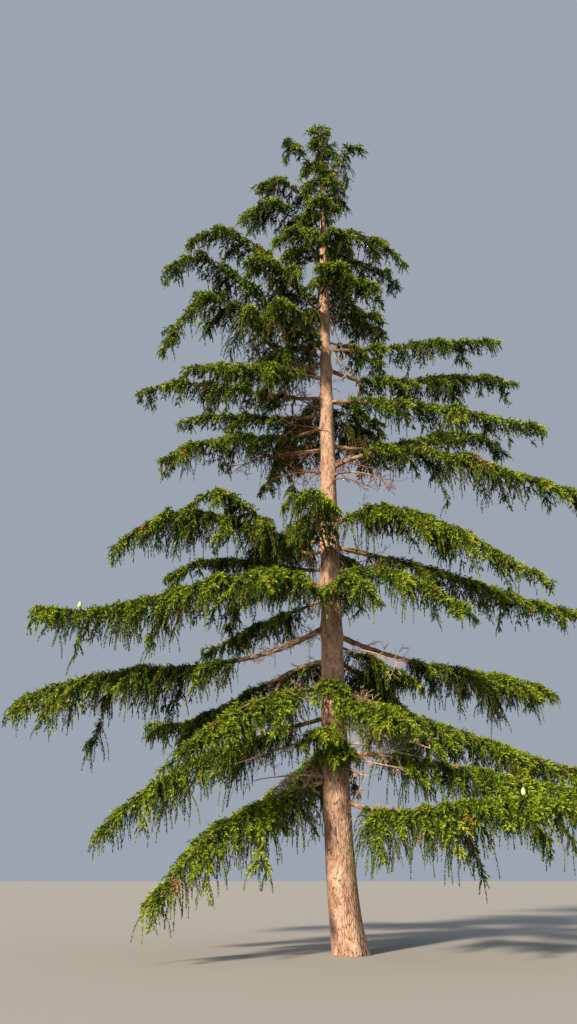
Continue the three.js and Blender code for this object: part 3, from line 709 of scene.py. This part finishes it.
def side_twigs(limb, rng):
    """The solids' own side twigs, and finer ones between them."""
    wanted = int(min(max(TWIGS + TWIGS_PER_METRE * limb.reach, FEWEST_TWIGS), MOST_TWIGS) + 0.5)
    count = LEADER_TWIGS if limb.all_round else wanted
    for _ in range(max(2, int((1 - limb.start) * limb.reach / TOOTH_SPACING + 0.5))):
        limb.dice.between(0, 1)  # the solids' teeth on the stem take these numbers
    index = np.arange(count)
    drawn = [[limb.dice.between(*limits) for limits in (TWIG_LENGTH, TWIG_ANGLE, TWIG_DROOP)] for _ in index]
    leading = twigs_at(limb, (index + 0.5) / count, twig_turns(limb, index), *np.array(drawn).T)
    lengthened = offshoots(leading, BRANCHLETS["fork"], 1.0, rng)
    count = int((1 - limb.start) * limb.reach / FINE_TWIG_SPACING)
    index = np.arange(count)
    along = (index + rng.uniform(0, 1, count)) / count
    drawn = [rng.uniform(*limits, count) for limits in (FINE_TWIG_LENGTH, TWIG_ANGLE, TWIG_DROOP)]
    return together([leading, lengthened, twigs_at(limb, along, twig_turns(limb, index), *drawn)])


def stem_pieces(limb):
    """The leafy part of the limb's own stem, as short shoots end to end."""
    first = limb.start if limb.all_round else max(limb.start, BARE_STEM, LEAFY_STEM)
    count = max(int((1 - first) * limb.reach / STEM_PIECE), FEWEST_PIECES)
    ends = np.linspace(first, 1, count + 1)
    root, tip = limb.points(ends[:-1]), limb.points(ends[1:])
    middle = limb.points((ends[:-1] + ends[1:]) / 2)
    size = np.linalg.norm(tip - root, axis=-1)
    return Shoots(root, 2 * middle - (root + tip) / 2, tip, size, FRESH_INSIDE + FRESHER_OUTSIDE * ends[:-1])


# %% [markdown]
# ## Branchlets
# The stem and its side twigs are thatched with five kinds of branchlet. Forks lengthen the leading twigs;
# fans leave to both sides and close the layer; curtains hang from it, darkened a little with painted shade; a
# lining fills its underside, darkened further with painted shade; and crest shoots stand up from it and catch
# the light, with lighter tints for their young needles and as painted light. Every kind comes from one
# function with its own few numbers.

# %% Branchlets by one rule
BRANCHLETS = {
    # kind: shoots a metre, along the parent, to the side, up, fall of the end, shortest and longest, tint
    # shift (younger needles and painted light; painted shade below 0)
    "fork": (5.0, 0.7, 0.6, 0.1, 0.5, 0.25, 0.6, 0.0),
    "fan": (12.0, 0.7, 0.7, 0.15, 0.5, 0.15, 0.35, 0.03),
    "curtain": (12.0, 0.4, 0.45, -0.3, 0.9, 0.15, 0.75, -0.14),
    "lining": (8.0, 0.45, 0.6, -0.45, 0.6, 0.1, 0.36, -0.35),
    "crest": (10.0, 0.6, 0.4, 0.55, 0.1, 0.08, 0.15, 0.17),
}
FIRST_PLACE = 0.04
WOBBLE, STRAY = 0.12, 0.15
ASIDE = (0.4, 1.2)
FEW_LONG = 1.5  # the higher, the fewer long ones
SHORTER_AT_END, FRESHER_AT_END = 0.3, 0.15
GROUND_CLEARANCE = 0.1


def offshoots(parents, rule, scale, rng):
    """Shoots that spring from parents by one rule; scale stretches their lengths."""
    per_metre, along, aside, lift, fall, shortest, longest, tint_shift_for_age_and_light = rule
    counts = rng.poisson(parents.size * per_metre)
    owner = np.repeat(np.arange(len(counts)), counts)
    share = rng.uniform(FIRST_PLACE, 1.0, len(owner))
    root, tangent = parents.places(owner, share)
    wobble = tangent + rng.normal(0, WOBBLE, tangent.shape)
    across = unit(np.cross(UP, wobble))
    up = unit(np.cross(tangent, across))
    hand = np.where(rng.random(len(owner)) < 0.5, 1.0, -1.0)
    aside = aside * rng.uniform(*ASIDE, len(owner)) * hand
    heading = unit(tangent * along + across * aside[:, None] + up * lift + rng.normal(0, STRAY, root.shape))
    scale = np.broadcast_to(scale, counts.shape)[owner]
    size = (shortest + (longest - shortest) * rng.random(len(owner)) ** FEW_LONG) * scale
    size = size * (1 - SHORTER_AT_END * share)
    bend = root + heading * (0.5 * size)[:, None]
    late = unit(heading * (1 - fall) - UP * fall)
    tip = bend + late * (0.5 * size)[:, None]
    for points in (bend, tip):
        points[:, 2] = np.maximum(points[:, 2], GROUND_CLEARANCE)
    # the kind's tint shift adds painted light to the crest and painted shade to the curtains and the lining
    return Shoots(root, bend, tip, size, parents.fresh_and_lit[owner] + tint_shift_for_age_and_light + FRESHER_AT_END * share)


# %% [markdown]
# How far the curtains hang comes and goes along a limb, and they are longest low on the tree and short at the
# tips of the limbs. Close to the trunk most branchlets of the lower limbs are left out, because old boughs go
# bare there.

# %% Dress a limb
HANG_LOW, HANG_TOP = 1.45, 0.75
LONGEST_HANG = 1.9
HANG_LOST_AT_TIP = 0.5
DRAPE_MIDDLE, DRAPE_WAVE, DRAPE_LIMITS = 0.9, 0.7, (0.3, 1.7)
TRUNK_CLEARANCE = 0.08
BARE_CORE, FULL_FROM, FEWEST_INSIDE = 0.3, 1.5, 0.15
OPEN_BELOW = 13.5
FRESH_CHANCE = 0.05


def drape(points):
    """How far the foliage hangs at each place, against the usual."""
    x, y, z = points.T
    wave = np.sin(2.9 * x + 1.3 * z) * np.sin(2.3 * y + 2.1 * z + 1.0)
    wave = wave + 0.5 * np.sin(5.3 * x - 4.1 * y + 3.0 * z)
    return np.clip(DRAPE_MIDDLE + DRAPE_WAVE * wave, *DRAPE_LIMITS)


def hang(limb, points):
    """How much the curtains of a limb are stretched at each place."""
    usual = HANG_LOW + (HANG_TOP - HANG_LOW) * limb.height / TREE_HEIGHT
    out = np.hypot(points[:, 0] - trunk_middle(limb.height), points[:, 1]) / limb.reach
    stretched = np.minimum(usual * limb.fullness * drape(points), LONGEST_HANG)
    return stretched * (1 - HANG_LOST_AT_TIP * np.clip(out, 0, 1) ** 4)


def from_trunk(points):
    return np.hypot(points[:, 0] - trunk_middle(points[:, 2]), points[:, 1])


def clear_of_trunk(shoots):
    return shoots.chosen(from_trunk(shoots.tip) > trunk_radius(shoots.tip[:, 2]) + TRUNK_CLEARANCE)


def thinned(shoots, rng):
    """Leaves out most shoots close to the trunk."""
    chance = np.clip((from_trunk(shoots.root) - BARE_CORE) / (FULL_FROM - BARE_CORE), FEWEST_INSIDE, 1)
    return shoots.chosen(rng.random(len(chance)) < chance)


def branchlets(limb, rng):
    """Twigs of a limb, its hanging branchlets, and all shoots that carry needles."""
    twigs = side_twigs(limb, rng)
    axes = together([stem_pieces(limb), twigs])
    axes.fresh_and_lit = axes.fresh_and_lit + rng.normal(0, FRESH_CHANCE, len(axes.fresh_and_lit))
    fans = offshoots(axes, BRANCHLETS["fan"], 1.0, rng)
    curtains = clear_of_trunk(offshoots(axes, BRANCHLETS["curtain"], hang(limb, axes.root), rng))
    lining = offshoots(axes, BRANCHLETS["lining"], limb.fullness, rng)
    crest = offshoots(axes, BRANCHLETS["crest"], 1.0, rng)
    if limb.height < OPEN_BELOW and not limb.name.startswith(("front", "short")):
        fans, curtains, lining, crest = (thinned(shoots, rng) for shoots in (fans, curtains, lining, crest))
    return twigs, curtains, clear_of_trunk(together([axes, fans, curtains, lining, crest]))


# %% [markdown]
# ## Needles
# Deodar needles are 25 to 60 mm long and stand in tufts all round a branchlet, leaning forward. There are
# millions on a real tree. Here each slim triangle stands for a small tuft: it is 35 to 120 mm long and as
# wide as the whole tuft shows, which keeps the crown as dense as the real one with under a million faces.
# They turn round the branchlet by the golden angle, so no two rows line up, and their flat sides face
# outward, so that a branchlet is light on one side and dark on the other.

# %% Needles along the branchlets
NEEDLES_PER_METRE = 40.0
FEWEST_NEEDLES = 5
NEEDLE_LENGTH = 0.1
NEEDLE_WIDTH = 0.034
LENGTH_CHANCE = (0.75, 1.2)
SHORTER_ON_LONG, SHORTER_AT_TIP = 0.25, 0.4
NEEDLE_LEAN = 34.0  # degrees from the branchlet
LEAN_LOST_AT_TIP = 0.45
TURN_CHANCE, LEAN_CHANCE, ROLL_CHANCE, SIDE_CHANCE = 0.4, 0.13, 0.35, 0.15
FIRST_SIDE = np.array([0.3, 0.5, 0.8])
LOWEST_NEEDLE = 0.02


def needles(shoots, rng):
    """Triangles of all needles, as (needles, 3, 3), and the shoot that each stands on."""
    counts = (shoots.size * NEEDLES_PER_METRE + rng.random(len(shoots.size))).astype(int)
    counts = np.maximum(counts, FEWEST_NEEDLES)
    owner = np.repeat(np.arange(len(counts)), counts)
    number = np.arange(len(owner)) - np.repeat(np.cumsum(counts) - counts, counts)
    share = np.clip((number + rng.uniform(0, 1, len(owner))) / counts[owner], 0, 1)
    foot, tangent = shoots.places(owner, share)
    across = unit(np.cross(tangent, rng.normal(0, 1, (len(owner), 3)) * SIDE_CHANCE + FIRST_SIDE))
    other = np.cross(tangent, across)
    turn = np.radians(GOLDEN_ANGLE) * number + rng.normal(0, TURN_CHANCE, len(owner))
    lean = np.radians(NEEDLE_LEAN) * (1 - LEAN_LOST_AT_TIP * share ** 3)
    lean = lean + rng.normal(0, LEAN_CHANCE, len(owner))
    heading = turned(tangent, turned(across, other, turn), lean)
    length = NEEDLE_LENGTH * (1 - SHORTER_ON_LONG * np.clip(shoots.size[owner], 0, 1))
    length = length * (1 - SHORTER_AT_TIP * share) * rng.uniform(*LENGTH_CHANCE, len(owner))
    roll = rng.normal(0, ROLL_CHANCE, len(owner))
    flat = unit(np.cross(heading, tangent))
    half = turned(flat, np.cross(heading, flat), roll) * (NEEDLE_WIDTH / 2)
    corners = np.stack([foot - half, foot + half, foot + heading * length[:, None]], axis=1)
    corners[:, :, 2] = np.maximum(corners[:, :, 2], LOWEST_NEEDLE)
    return corners, owner


# %% [markdown]
# Young needles at the ends of twigs are yellow-green, older ones inside are deep green, and here and there
# the short shoots of a whole spray are bronze before they drop. Each branchlet gets one of seven tints by its
# place and by chance. The tints also carry painted light and shade: crest shoots get lighter ones, and the
# curtains and the lining under each layer get darker ones, down to a near-black painted shade. Needle skin is
# waxy, so it has a soft gloss and a thin clear coat. The tints are plain colours, because no single needle is
# large enough to show a pattern.

# %% Needle and twig materials
NEEDLE_TINTS = [
    # the darkest tint is painted shade, dealt out to the lining under each layer
    ("blue-green needles in shade", "#12200b"),
    ("deep green needles", "#2a3f10"),
    ("old green needles", "#4c6014"),
    ("green needles", "#73861b"),
    ("fresh green needles", "#98a52d"),
    ("yellow-green young needles", "#b9bd4c"),
    ("bronze dying needles", "#8f6a35"),
]
BRONZE = len(NEEDLE_TINTS) - 1
TINTS_BY_FRESH_AND_LIT, FIRST_TINT, TINT_CHANCE = 5.0, 1.15, 0.25
PATCH_EDGE = 0.97
BRONZE_IN_PATCH, BRONZE_ELSEWHERE = 0.6, 0.003
LONGEST_BRONZE = 0.45

needle_materials = []
for tint_name, tint_colour in NEEDLE_TINTS:
    needle_material, _, needle_shader = start_material(tint_name, tint_colour, 0.6, 0.15)
    needle_shader.inputs["Coat Weight"].default_value = 0.04
    needle_shader.inputs["Coat Roughness"].default_value = 0.45
    needle_materials.append(needle_material)
twig_wood, _, _ = start_material("tan skin of young twigs", "#8a7247", 0.75, 0.3)
old_twig_wood, _, _ = start_material("brown bark of older twigs", "#6b5440", 0.85, 0.3)
print(len(needle_materials), "tints of needles")


def spray_tints(shoots, rng):
    """The tint of each shoot: young at the outside, dark inside, lighter on the crest as painted light,
    darker on the curtains and the lining as painted shade, bronze in a few patches.
    """
    score = shoots.fresh_and_lit * TINTS_BY_FRESH_AND_LIT + FIRST_TINT + rng.normal(0, TINT_CHANCE, len(shoots.fresh_and_lit))
    tint = np.clip(np.round(score), 0, BRONZE - 1).astype(int)
    x, y, z = shoots.root.T
    patch = np.sin(4.1 * x + 2.3 * z) * np.sin(3.7 * y - 2.9 * z + 2.0) > PATCH_EDGE
    chance = np.where(patch, BRONZE_IN_PATCH, BRONZE_ELSEWHERE) * (shoots.size < LONGEST_BRONZE)
    return np.where(rng.random(len(chance)) < chance, BRONZE, tint)


# %% [markdown]
# ## Growing the crown
# Needles and twigs are joined by zone, each kind apart, so that no mesh grows past 200,000 triangles and each
# one stands for the solids of its zone. Twigs are tubes with three sides. Only the longer hanging branchlets
# get one, because needles hide the others.

# %% Grow every zone
left, right, front, back = ([limb for limb in limbs if limb.name.startswith(side)] for side in LIMBS)
ZONES = {
    "left_low": left[:4], "left_middle": left[4:8], "left_upper": left[8:12], "left_high": left[12:],
    "right_low": right[:4], "right_middle": right[4:8], "right_upper": right[8:12], "right_high": right[12:],
    "front": front, "back_low": back[:3], "back_high": back[3:], "top": [leader], "near_trunk": short_limbs,
}
FIRST_ZONE_SEED = 100
SHORTEST_TUBE = 0.55
TUBE_SIDES = 3
TWIG_RADIUS, TWIG_RADIUS_PER_METRE = 0.004, 0.005
HANGING_RADIUS, HANGING_RADIUS_PER_METRE = 0.002, 0.003
TWIG_TIP = 0.0015


def twig_tubes(twigs, curtains):
    """Tubes of the side twigs, in old bark, and of the longer hanging branchlets, in young skin."""
    curtains = curtains.chosen(curtains.size > SHORTEST_TUBE)
    radius = TWIG_RADIUS + TWIG_RADIUS_PER_METRE * twigs.size
    hanging_radius = HANGING_RADIUS + HANGING_RADIUS_PER_METRE * curtains.size
    for shoots, radii, rings, old in ((twigs, radius, 3, 1), (curtains, hanging_radius, 2, 0)):
        points, faces = thin_tubes(shoots, radii, TWIG_TIP, rings, TUBE_SIDES)
        yield points, faces, np.full(len(faces), old)


for zone_number, (zone, members) in enumerate(ZONES.items()):
    rng = np.random.default_rng(FIRST_ZONE_SEED + zone_number)
    corner_parts, tint_parts, wood_parts = [], [], []
    for limb in members:
        twigs, curtains, leafy = branchlets(limb, rng)
        corners, owner = needles(leafy, rng)
        corner_parts.append(corners)
        tint_parts.append(spray_tints(leafy, rng)[owner])
        wood_parts.extend(twig_tubes(twigs, curtains))
    corners = np.concatenate(corner_parts)
    solids = [f"foliage_{limb.name}" for limb in members if limb not in short_limbs]
    make_piece(f"needles_{zone}", corners.reshape(-1, 3), np.arange(len(corners) * 3).reshape(-1, 3),
               needle_materials, solids, slots=np.concatenate(tint_parts))
    wood_points, wood_faces, wood_slots = joined(wood_parts)
    make_piece(f"twigs_{zone}", wood_points, wood_faces, [twig_wood, old_twig_wood],
               slots=wood_slots, smooth=True)

# %% [markdown]
# ## Cones
# A few cones stand upright on the boughs like eggs in a cup, each on a short stalk. They are pale green while
# they grow, and their scales wrap round them in closed spirals, which shows as fine rings of shallow bumps.

# %% Grow the cones
CONES = {"left_05": (0.44, 0.87), "right_01": (0.8,)}  # places on their limbs
CONE_LENGTH, CONE_RADIUS = 0.15, 0.044
CONE_SIDES, CONE_RINGS = 24, 36
CONE_WIDEST, CONE_BLUNT = 0.8, 0.6  # below 1: widest under the middle, and blunt ends
CONE_SPIRALS, SPIRAL_TURN = 8, 60
CONE_BODY, CONE_SCALE_RISE, CONE_END = 0.95, 0.06, 0.0005
CONE_STALK, STALK_RADIUS = 0.08, 0.009


def cone_mesh(foot):
    """A cone on its foot: an egg whose surface rises and falls with the edges of the scales."""
    turns = np.arange(CONE_SIDES) * 2 * math.pi / CONE_SIDES
    share, angle = np.meshgrid(np.linspace(0, 1, CONE_RINGS), turns, indexing="ij")
    outline = np.sin(math.pi * share ** CONE_WIDEST) ** CONE_BLUNT
    spirals = [np.sin(CONE_SPIRALS * angle + way * SPIRAL_TURN * share) for way in (1, -1)]
    radius = CONE_RADIUS * outline * (CONE_BODY + CONE_SCALE_RISE * np.maximum(*spirals)) + CONE_END
    points = np.stack([radius * np.cos(angle), radius * np.sin(angle), CONE_LENGTH * share], axis=-1)
    return foot + points.reshape(-1, 3), grid_faces(CONE_RINGS, CONE_SIDES)


cone_skin, _, _ = start_material("pale green cone scales", "#dfe19c", 0.6, 0.3)
stalk_roots = np.array([limb.points(place) for limb in limbs for place in CONES.get(limb.name, ())])
feet = stalk_roots + np.array([0, 0, CONE_STALK])
lengths = np.full(len(feet), CONE_STALK)
stalk_shoots = Shoots(stalk_roots, (stalk_roots + feet) / 2, feet, lengths, lengths)
stalks = thin_tubes(stalk_shoots, np.full(len(feet), STALK_RADIUS), STALK_RADIUS, 2, 5)
cone_points, cone_faces = joined([cone_mesh(foot) for foot in feet] + [stalks])
make_piece("cones", cone_points, cone_faces, [cone_skin], smooth=True)

# %% [markdown]
# ## Bare twigs
# Inside the crown, where no light comes, twigs die and lose their needles but stay on the tree for years. Two
# dead limbs halfway up are nothing else, smaller dead branches stand out from the trunk, and most boughs have
# some near their root. Where the bark has just flaked they are reddish brown, and where they have weathered
# for years, as low on the tree, they are pale. The table names the finish of each branch.

# %% Table of the dead branches
DEAD_BRANCHES = [
    ("pale", 4.35, 330, 2.3, -0.1, -0.3, -0.5),
    ("pale", 3.95, 314, 2.1, -0.05, -0.2, -0.35),
    ("pale", 4.75, 342, 2.4, -0.2, -0.4, -0.7),
    ("pale", 3.7, 298, 1.4, 0.05, -0.1, -0.2),
    ("pale", 3.55, 206, 2.0, 0.05, 0.0, -0.1),
    ("pale", 4.5, 214, 2.7, -0.2, -0.5, -0.8),
    ("pale", 6.4, 345, 1.6, 0.1, 0.0, -0.3),
    ("pale", 7.0, 200, 1.6, -0.1, -0.3, -0.7),
    ("reddish", 11.95, 172, 1.5, 0.15, 0.1, 0.3),
    ("reddish", 11.3, 195, 1.4, 0.1, 0.0, -0.2),
    ("reddish", 12.6, 205, 1.4, 0.15, 0.1, 0.2),
    ("reddish", 11.6, 150, 1.5, 0.0, 0.2, 0.1),
    ("reddish", 11.75, 342, 1.5, -0.1, -0.3, -0.5),
    ("reddish", 11.1, 318, 1.3, 0.0, -0.2, -0.5),
    ("reddish", 13.3, 205, 1.8, 0.2, 0.3, 0.3),
    ("reddish", 14.3, 206, 2.1, 0.35, 0.7, 0.85),
    ("reddish", 15.05, 210, 2.5, 0.3, 0.6, 0.8),
    ("reddish", 15.7, 214, 1.9, 0.5, 0.9, 1.1),
    ("pale", 16.9, 342, 0.6, -0.5, -1.2, -2.0),
    ("pale", 15.6, 330, 0.7, -0.3, -0.9, -1.5),
]
FIRST_DEAD_ROW = 100
dead_branches = [Limb(name, (*row, 1.0), FIRST_DEAD_ROW + index)
                 for index, (name, *row) in enumerate(DEAD_BRANCHES)]
print(len(dead_branches), "dead branches")

# %% [markdown]
# Dead twigs grow in three orders. Each one springs from the order before and is about half as long.

# %% Grow the bare twigs
DEAD_TWIG_SPACING = 0.12
DEAD_TWIG_SIZE = (0.35, 1.0)
DEAD_FORKS = ((4, 0.5), (3, 0.45))  # twigs on each parent, and their length against its
DEAD_RADII, DEAD_TIP = (0.012, 0.008, 0.005), 0.002
DEAD_WANDER = 0.35
ALONG_LIMB, OFF_LIMB = 0.5, 0.6
ALONG_PARENT, OFF_PARENT = 0.7, 0.45
PLACE_ON_PARENT, DEAD_FORK_SIZE = (0.25, 0.95), (0.6, 1.1)
DEAD_SEED = 500
BRANCH_RINGS, BRANCH_SIDES, BRANCH_THIN = 12, 5, 0.9
DEAD_TWIGS_BELOW = 17.0
PALE_BELOW = 8
ON_LIMB, ON_BOUGH, ON_BRANCH, ON_FORK = 0.62, 0.5, 0.55, 0.5  # longest dead twigs in metres
BOUGH_STRETCH = 1.5  # metres of a bough that have dead twigs


def crooked(root, heading, length, rng):
    """Twigs that wander off their heading."""
    bend = root + heading * (0.5 * length)[:, None]
    late = unit(heading + rng.normal(0, DEAD_WANDER, heading.shape))
    return Shoots(root, bend, bend + late * (0.5 * length)[:, None], length, length * 0)


def bare_twigs(limb, low, high, longest, rng):
    """Dead twigs on a stretch of a limb, in three orders of size."""
    count = max(int((high - low) * limb.reach / DEAD_TWIG_SPACING), 1)
    at = rng.uniform(low, high, count)
    heading = unit(limb.tangents(at) * ALONG_LIMB + rng.normal(0, OFF_LIMB, (count, 3)))
    length = longest * rng.uniform(*DEAD_TWIG_SIZE, count)
    orders = [crooked(limb.points(at), heading, length, rng)]
    for twigs_each, shrink in DEAD_FORKS:
        parents = orders[-1]
        owner = np.repeat(np.arange(len(parents.size)), twigs_each)
        places, along = parents.places(owner, rng.uniform(*PLACE_ON_PARENT, len(owner)))
        heading = unit(along * ALONG_PARENT + rng.normal(0, OFF_PARENT, along.shape))
        size = parents.size[owner] * shrink * rng.uniform(*DEAD_FORK_SIZE, len(owner))
        orders.append(crooked(places, heading, size, rng))
    return orders


dead_wood, _, _ = start_material("dry reddish dead twigs", "#7a5340", 0.9, 0.2)
pale_dead_wood, _, _ = start_material("weathered pale dead twigs", "#b39a86", 0.9, 0.2)
# each stretch: the limb, from and to in shares of its reach, and its longest dead twig
stretches = [(limb, 0.12, 1.0, ON_LIMB) for limb in dead_limbs]
stretches += [(limb, 0.05, max(limb.bare, BOUGH_STRETCH / limb.reach), ON_BOUGH)
              for limb in limbs if limb.height < DEAD_TWIGS_BELOW]
stretches += [(limb, 0.1, 1.0, ON_BRANCH) for limb in dead_branches]
stretches += [(limb, 0.3, 1.0, ON_FORK) for limb in forks]
dead_rng = np.random.default_rng(DEAD_SEED)
dead_parts = []
for limb, low, high, longest in stretches:
    pale = int(limb.name == "pale" or limb.height < PALE_BELOW)
    for order, shoots in enumerate(bare_twigs(limb, low, high, longest, dead_rng)):
        radius = np.full(len(shoots.size), DEAD_RADII[order])
        points, faces = thin_tubes(shoots, radius, DEAD_TIP, 3 if order == 0 else 2, TUBE_SIDES)
        dead_parts.append((points, faces, np.full(len(faces), pale)))
for limb in dead_branches:
    t = np.linspace(limb.root_at, 1.0, BRANCH_RINGS)
    points = sweep(limb.points(t), BRANCH_THIN * limb.radius(t), BRANCH_SIDES).reshape(-1, 3)
    faces = grid_faces(BRANCH_RINGS, BRANCH_SIDES)
    dead_parts.append((points, faces, np.full(len(faces), int(limb.name == "pale"))))
dead_points, dead_faces, dead_slots = joined(dead_parts)
make_piece("dead_twigs", dead_points, dead_faces, [dead_wood, pale_dead_wood],
           ["dead_twigs_left", "dead_twigs_right"], slots=dead_slots, smooth=True)

# %% [markdown]
# ## Floor and light
# The studio is a pale matt floor under an even pale sky. A large warm lamp from the left, in front and above,
# gives the soft side light of the photograph, and the sky fills the shadows.

# %% Floor, sky and lamp
FLOOR_HALF = 150.0
FLOOR_DROP = 0.003
SKY_STRENGTH = 0.48
LAMP_STRENGTH = 7.2
LAMP_SIZE = 5  # degrees across, which softens the edges of shadows
LAMP_TURN = (65, 0, -35)  # degrees

floor_material, _, _ = start_material("pale matt floor", "#a3a19c", 0.95, 0.1)
floor_mesh = bpy.data.meshes.new("floor")
quarters = ((-1, -1), (1, -1), (1, 1), (-1, 1))
floor_corners = [(x * FLOOR_HALF, y * FLOOR_HALF, -FLOOR_DROP) for x, y in quarters]
floor_mesh.from_pydata(floor_corners, [], [(0, 1, 2, 3)])
floor_mesh.materials.append(floor_material)
floor = add_object("floor", floor_mesh)

world = bpy.data.worlds.new("pale studio")
world.use_nodes = True
world.node_tree.nodes["Background"].inputs["Color"].default_value = linear("#d9e4f5")
world.node_tree.nodes["Background"].inputs["Strength"].default_value = SKY_STRENGTH
bpy.context.scene.world = world

key_data = bpy.data.lights.new("key", "SUN")
key_data.energy = LAMP_STRENGTH
key_data.angle = math.radians(LAMP_SIZE)
key_data.color = (1.0, 0.86, 0.68)
key = add_object("key", key_data)
key.rotation_euler = [math.radians(degrees) for degrees in LAMP_TURN]
bpy.context.scene.view_settings.view_transform = "Standard"
print("lamp", LAMP_STRENGTH, "and sky", SKY_STRENGTH)
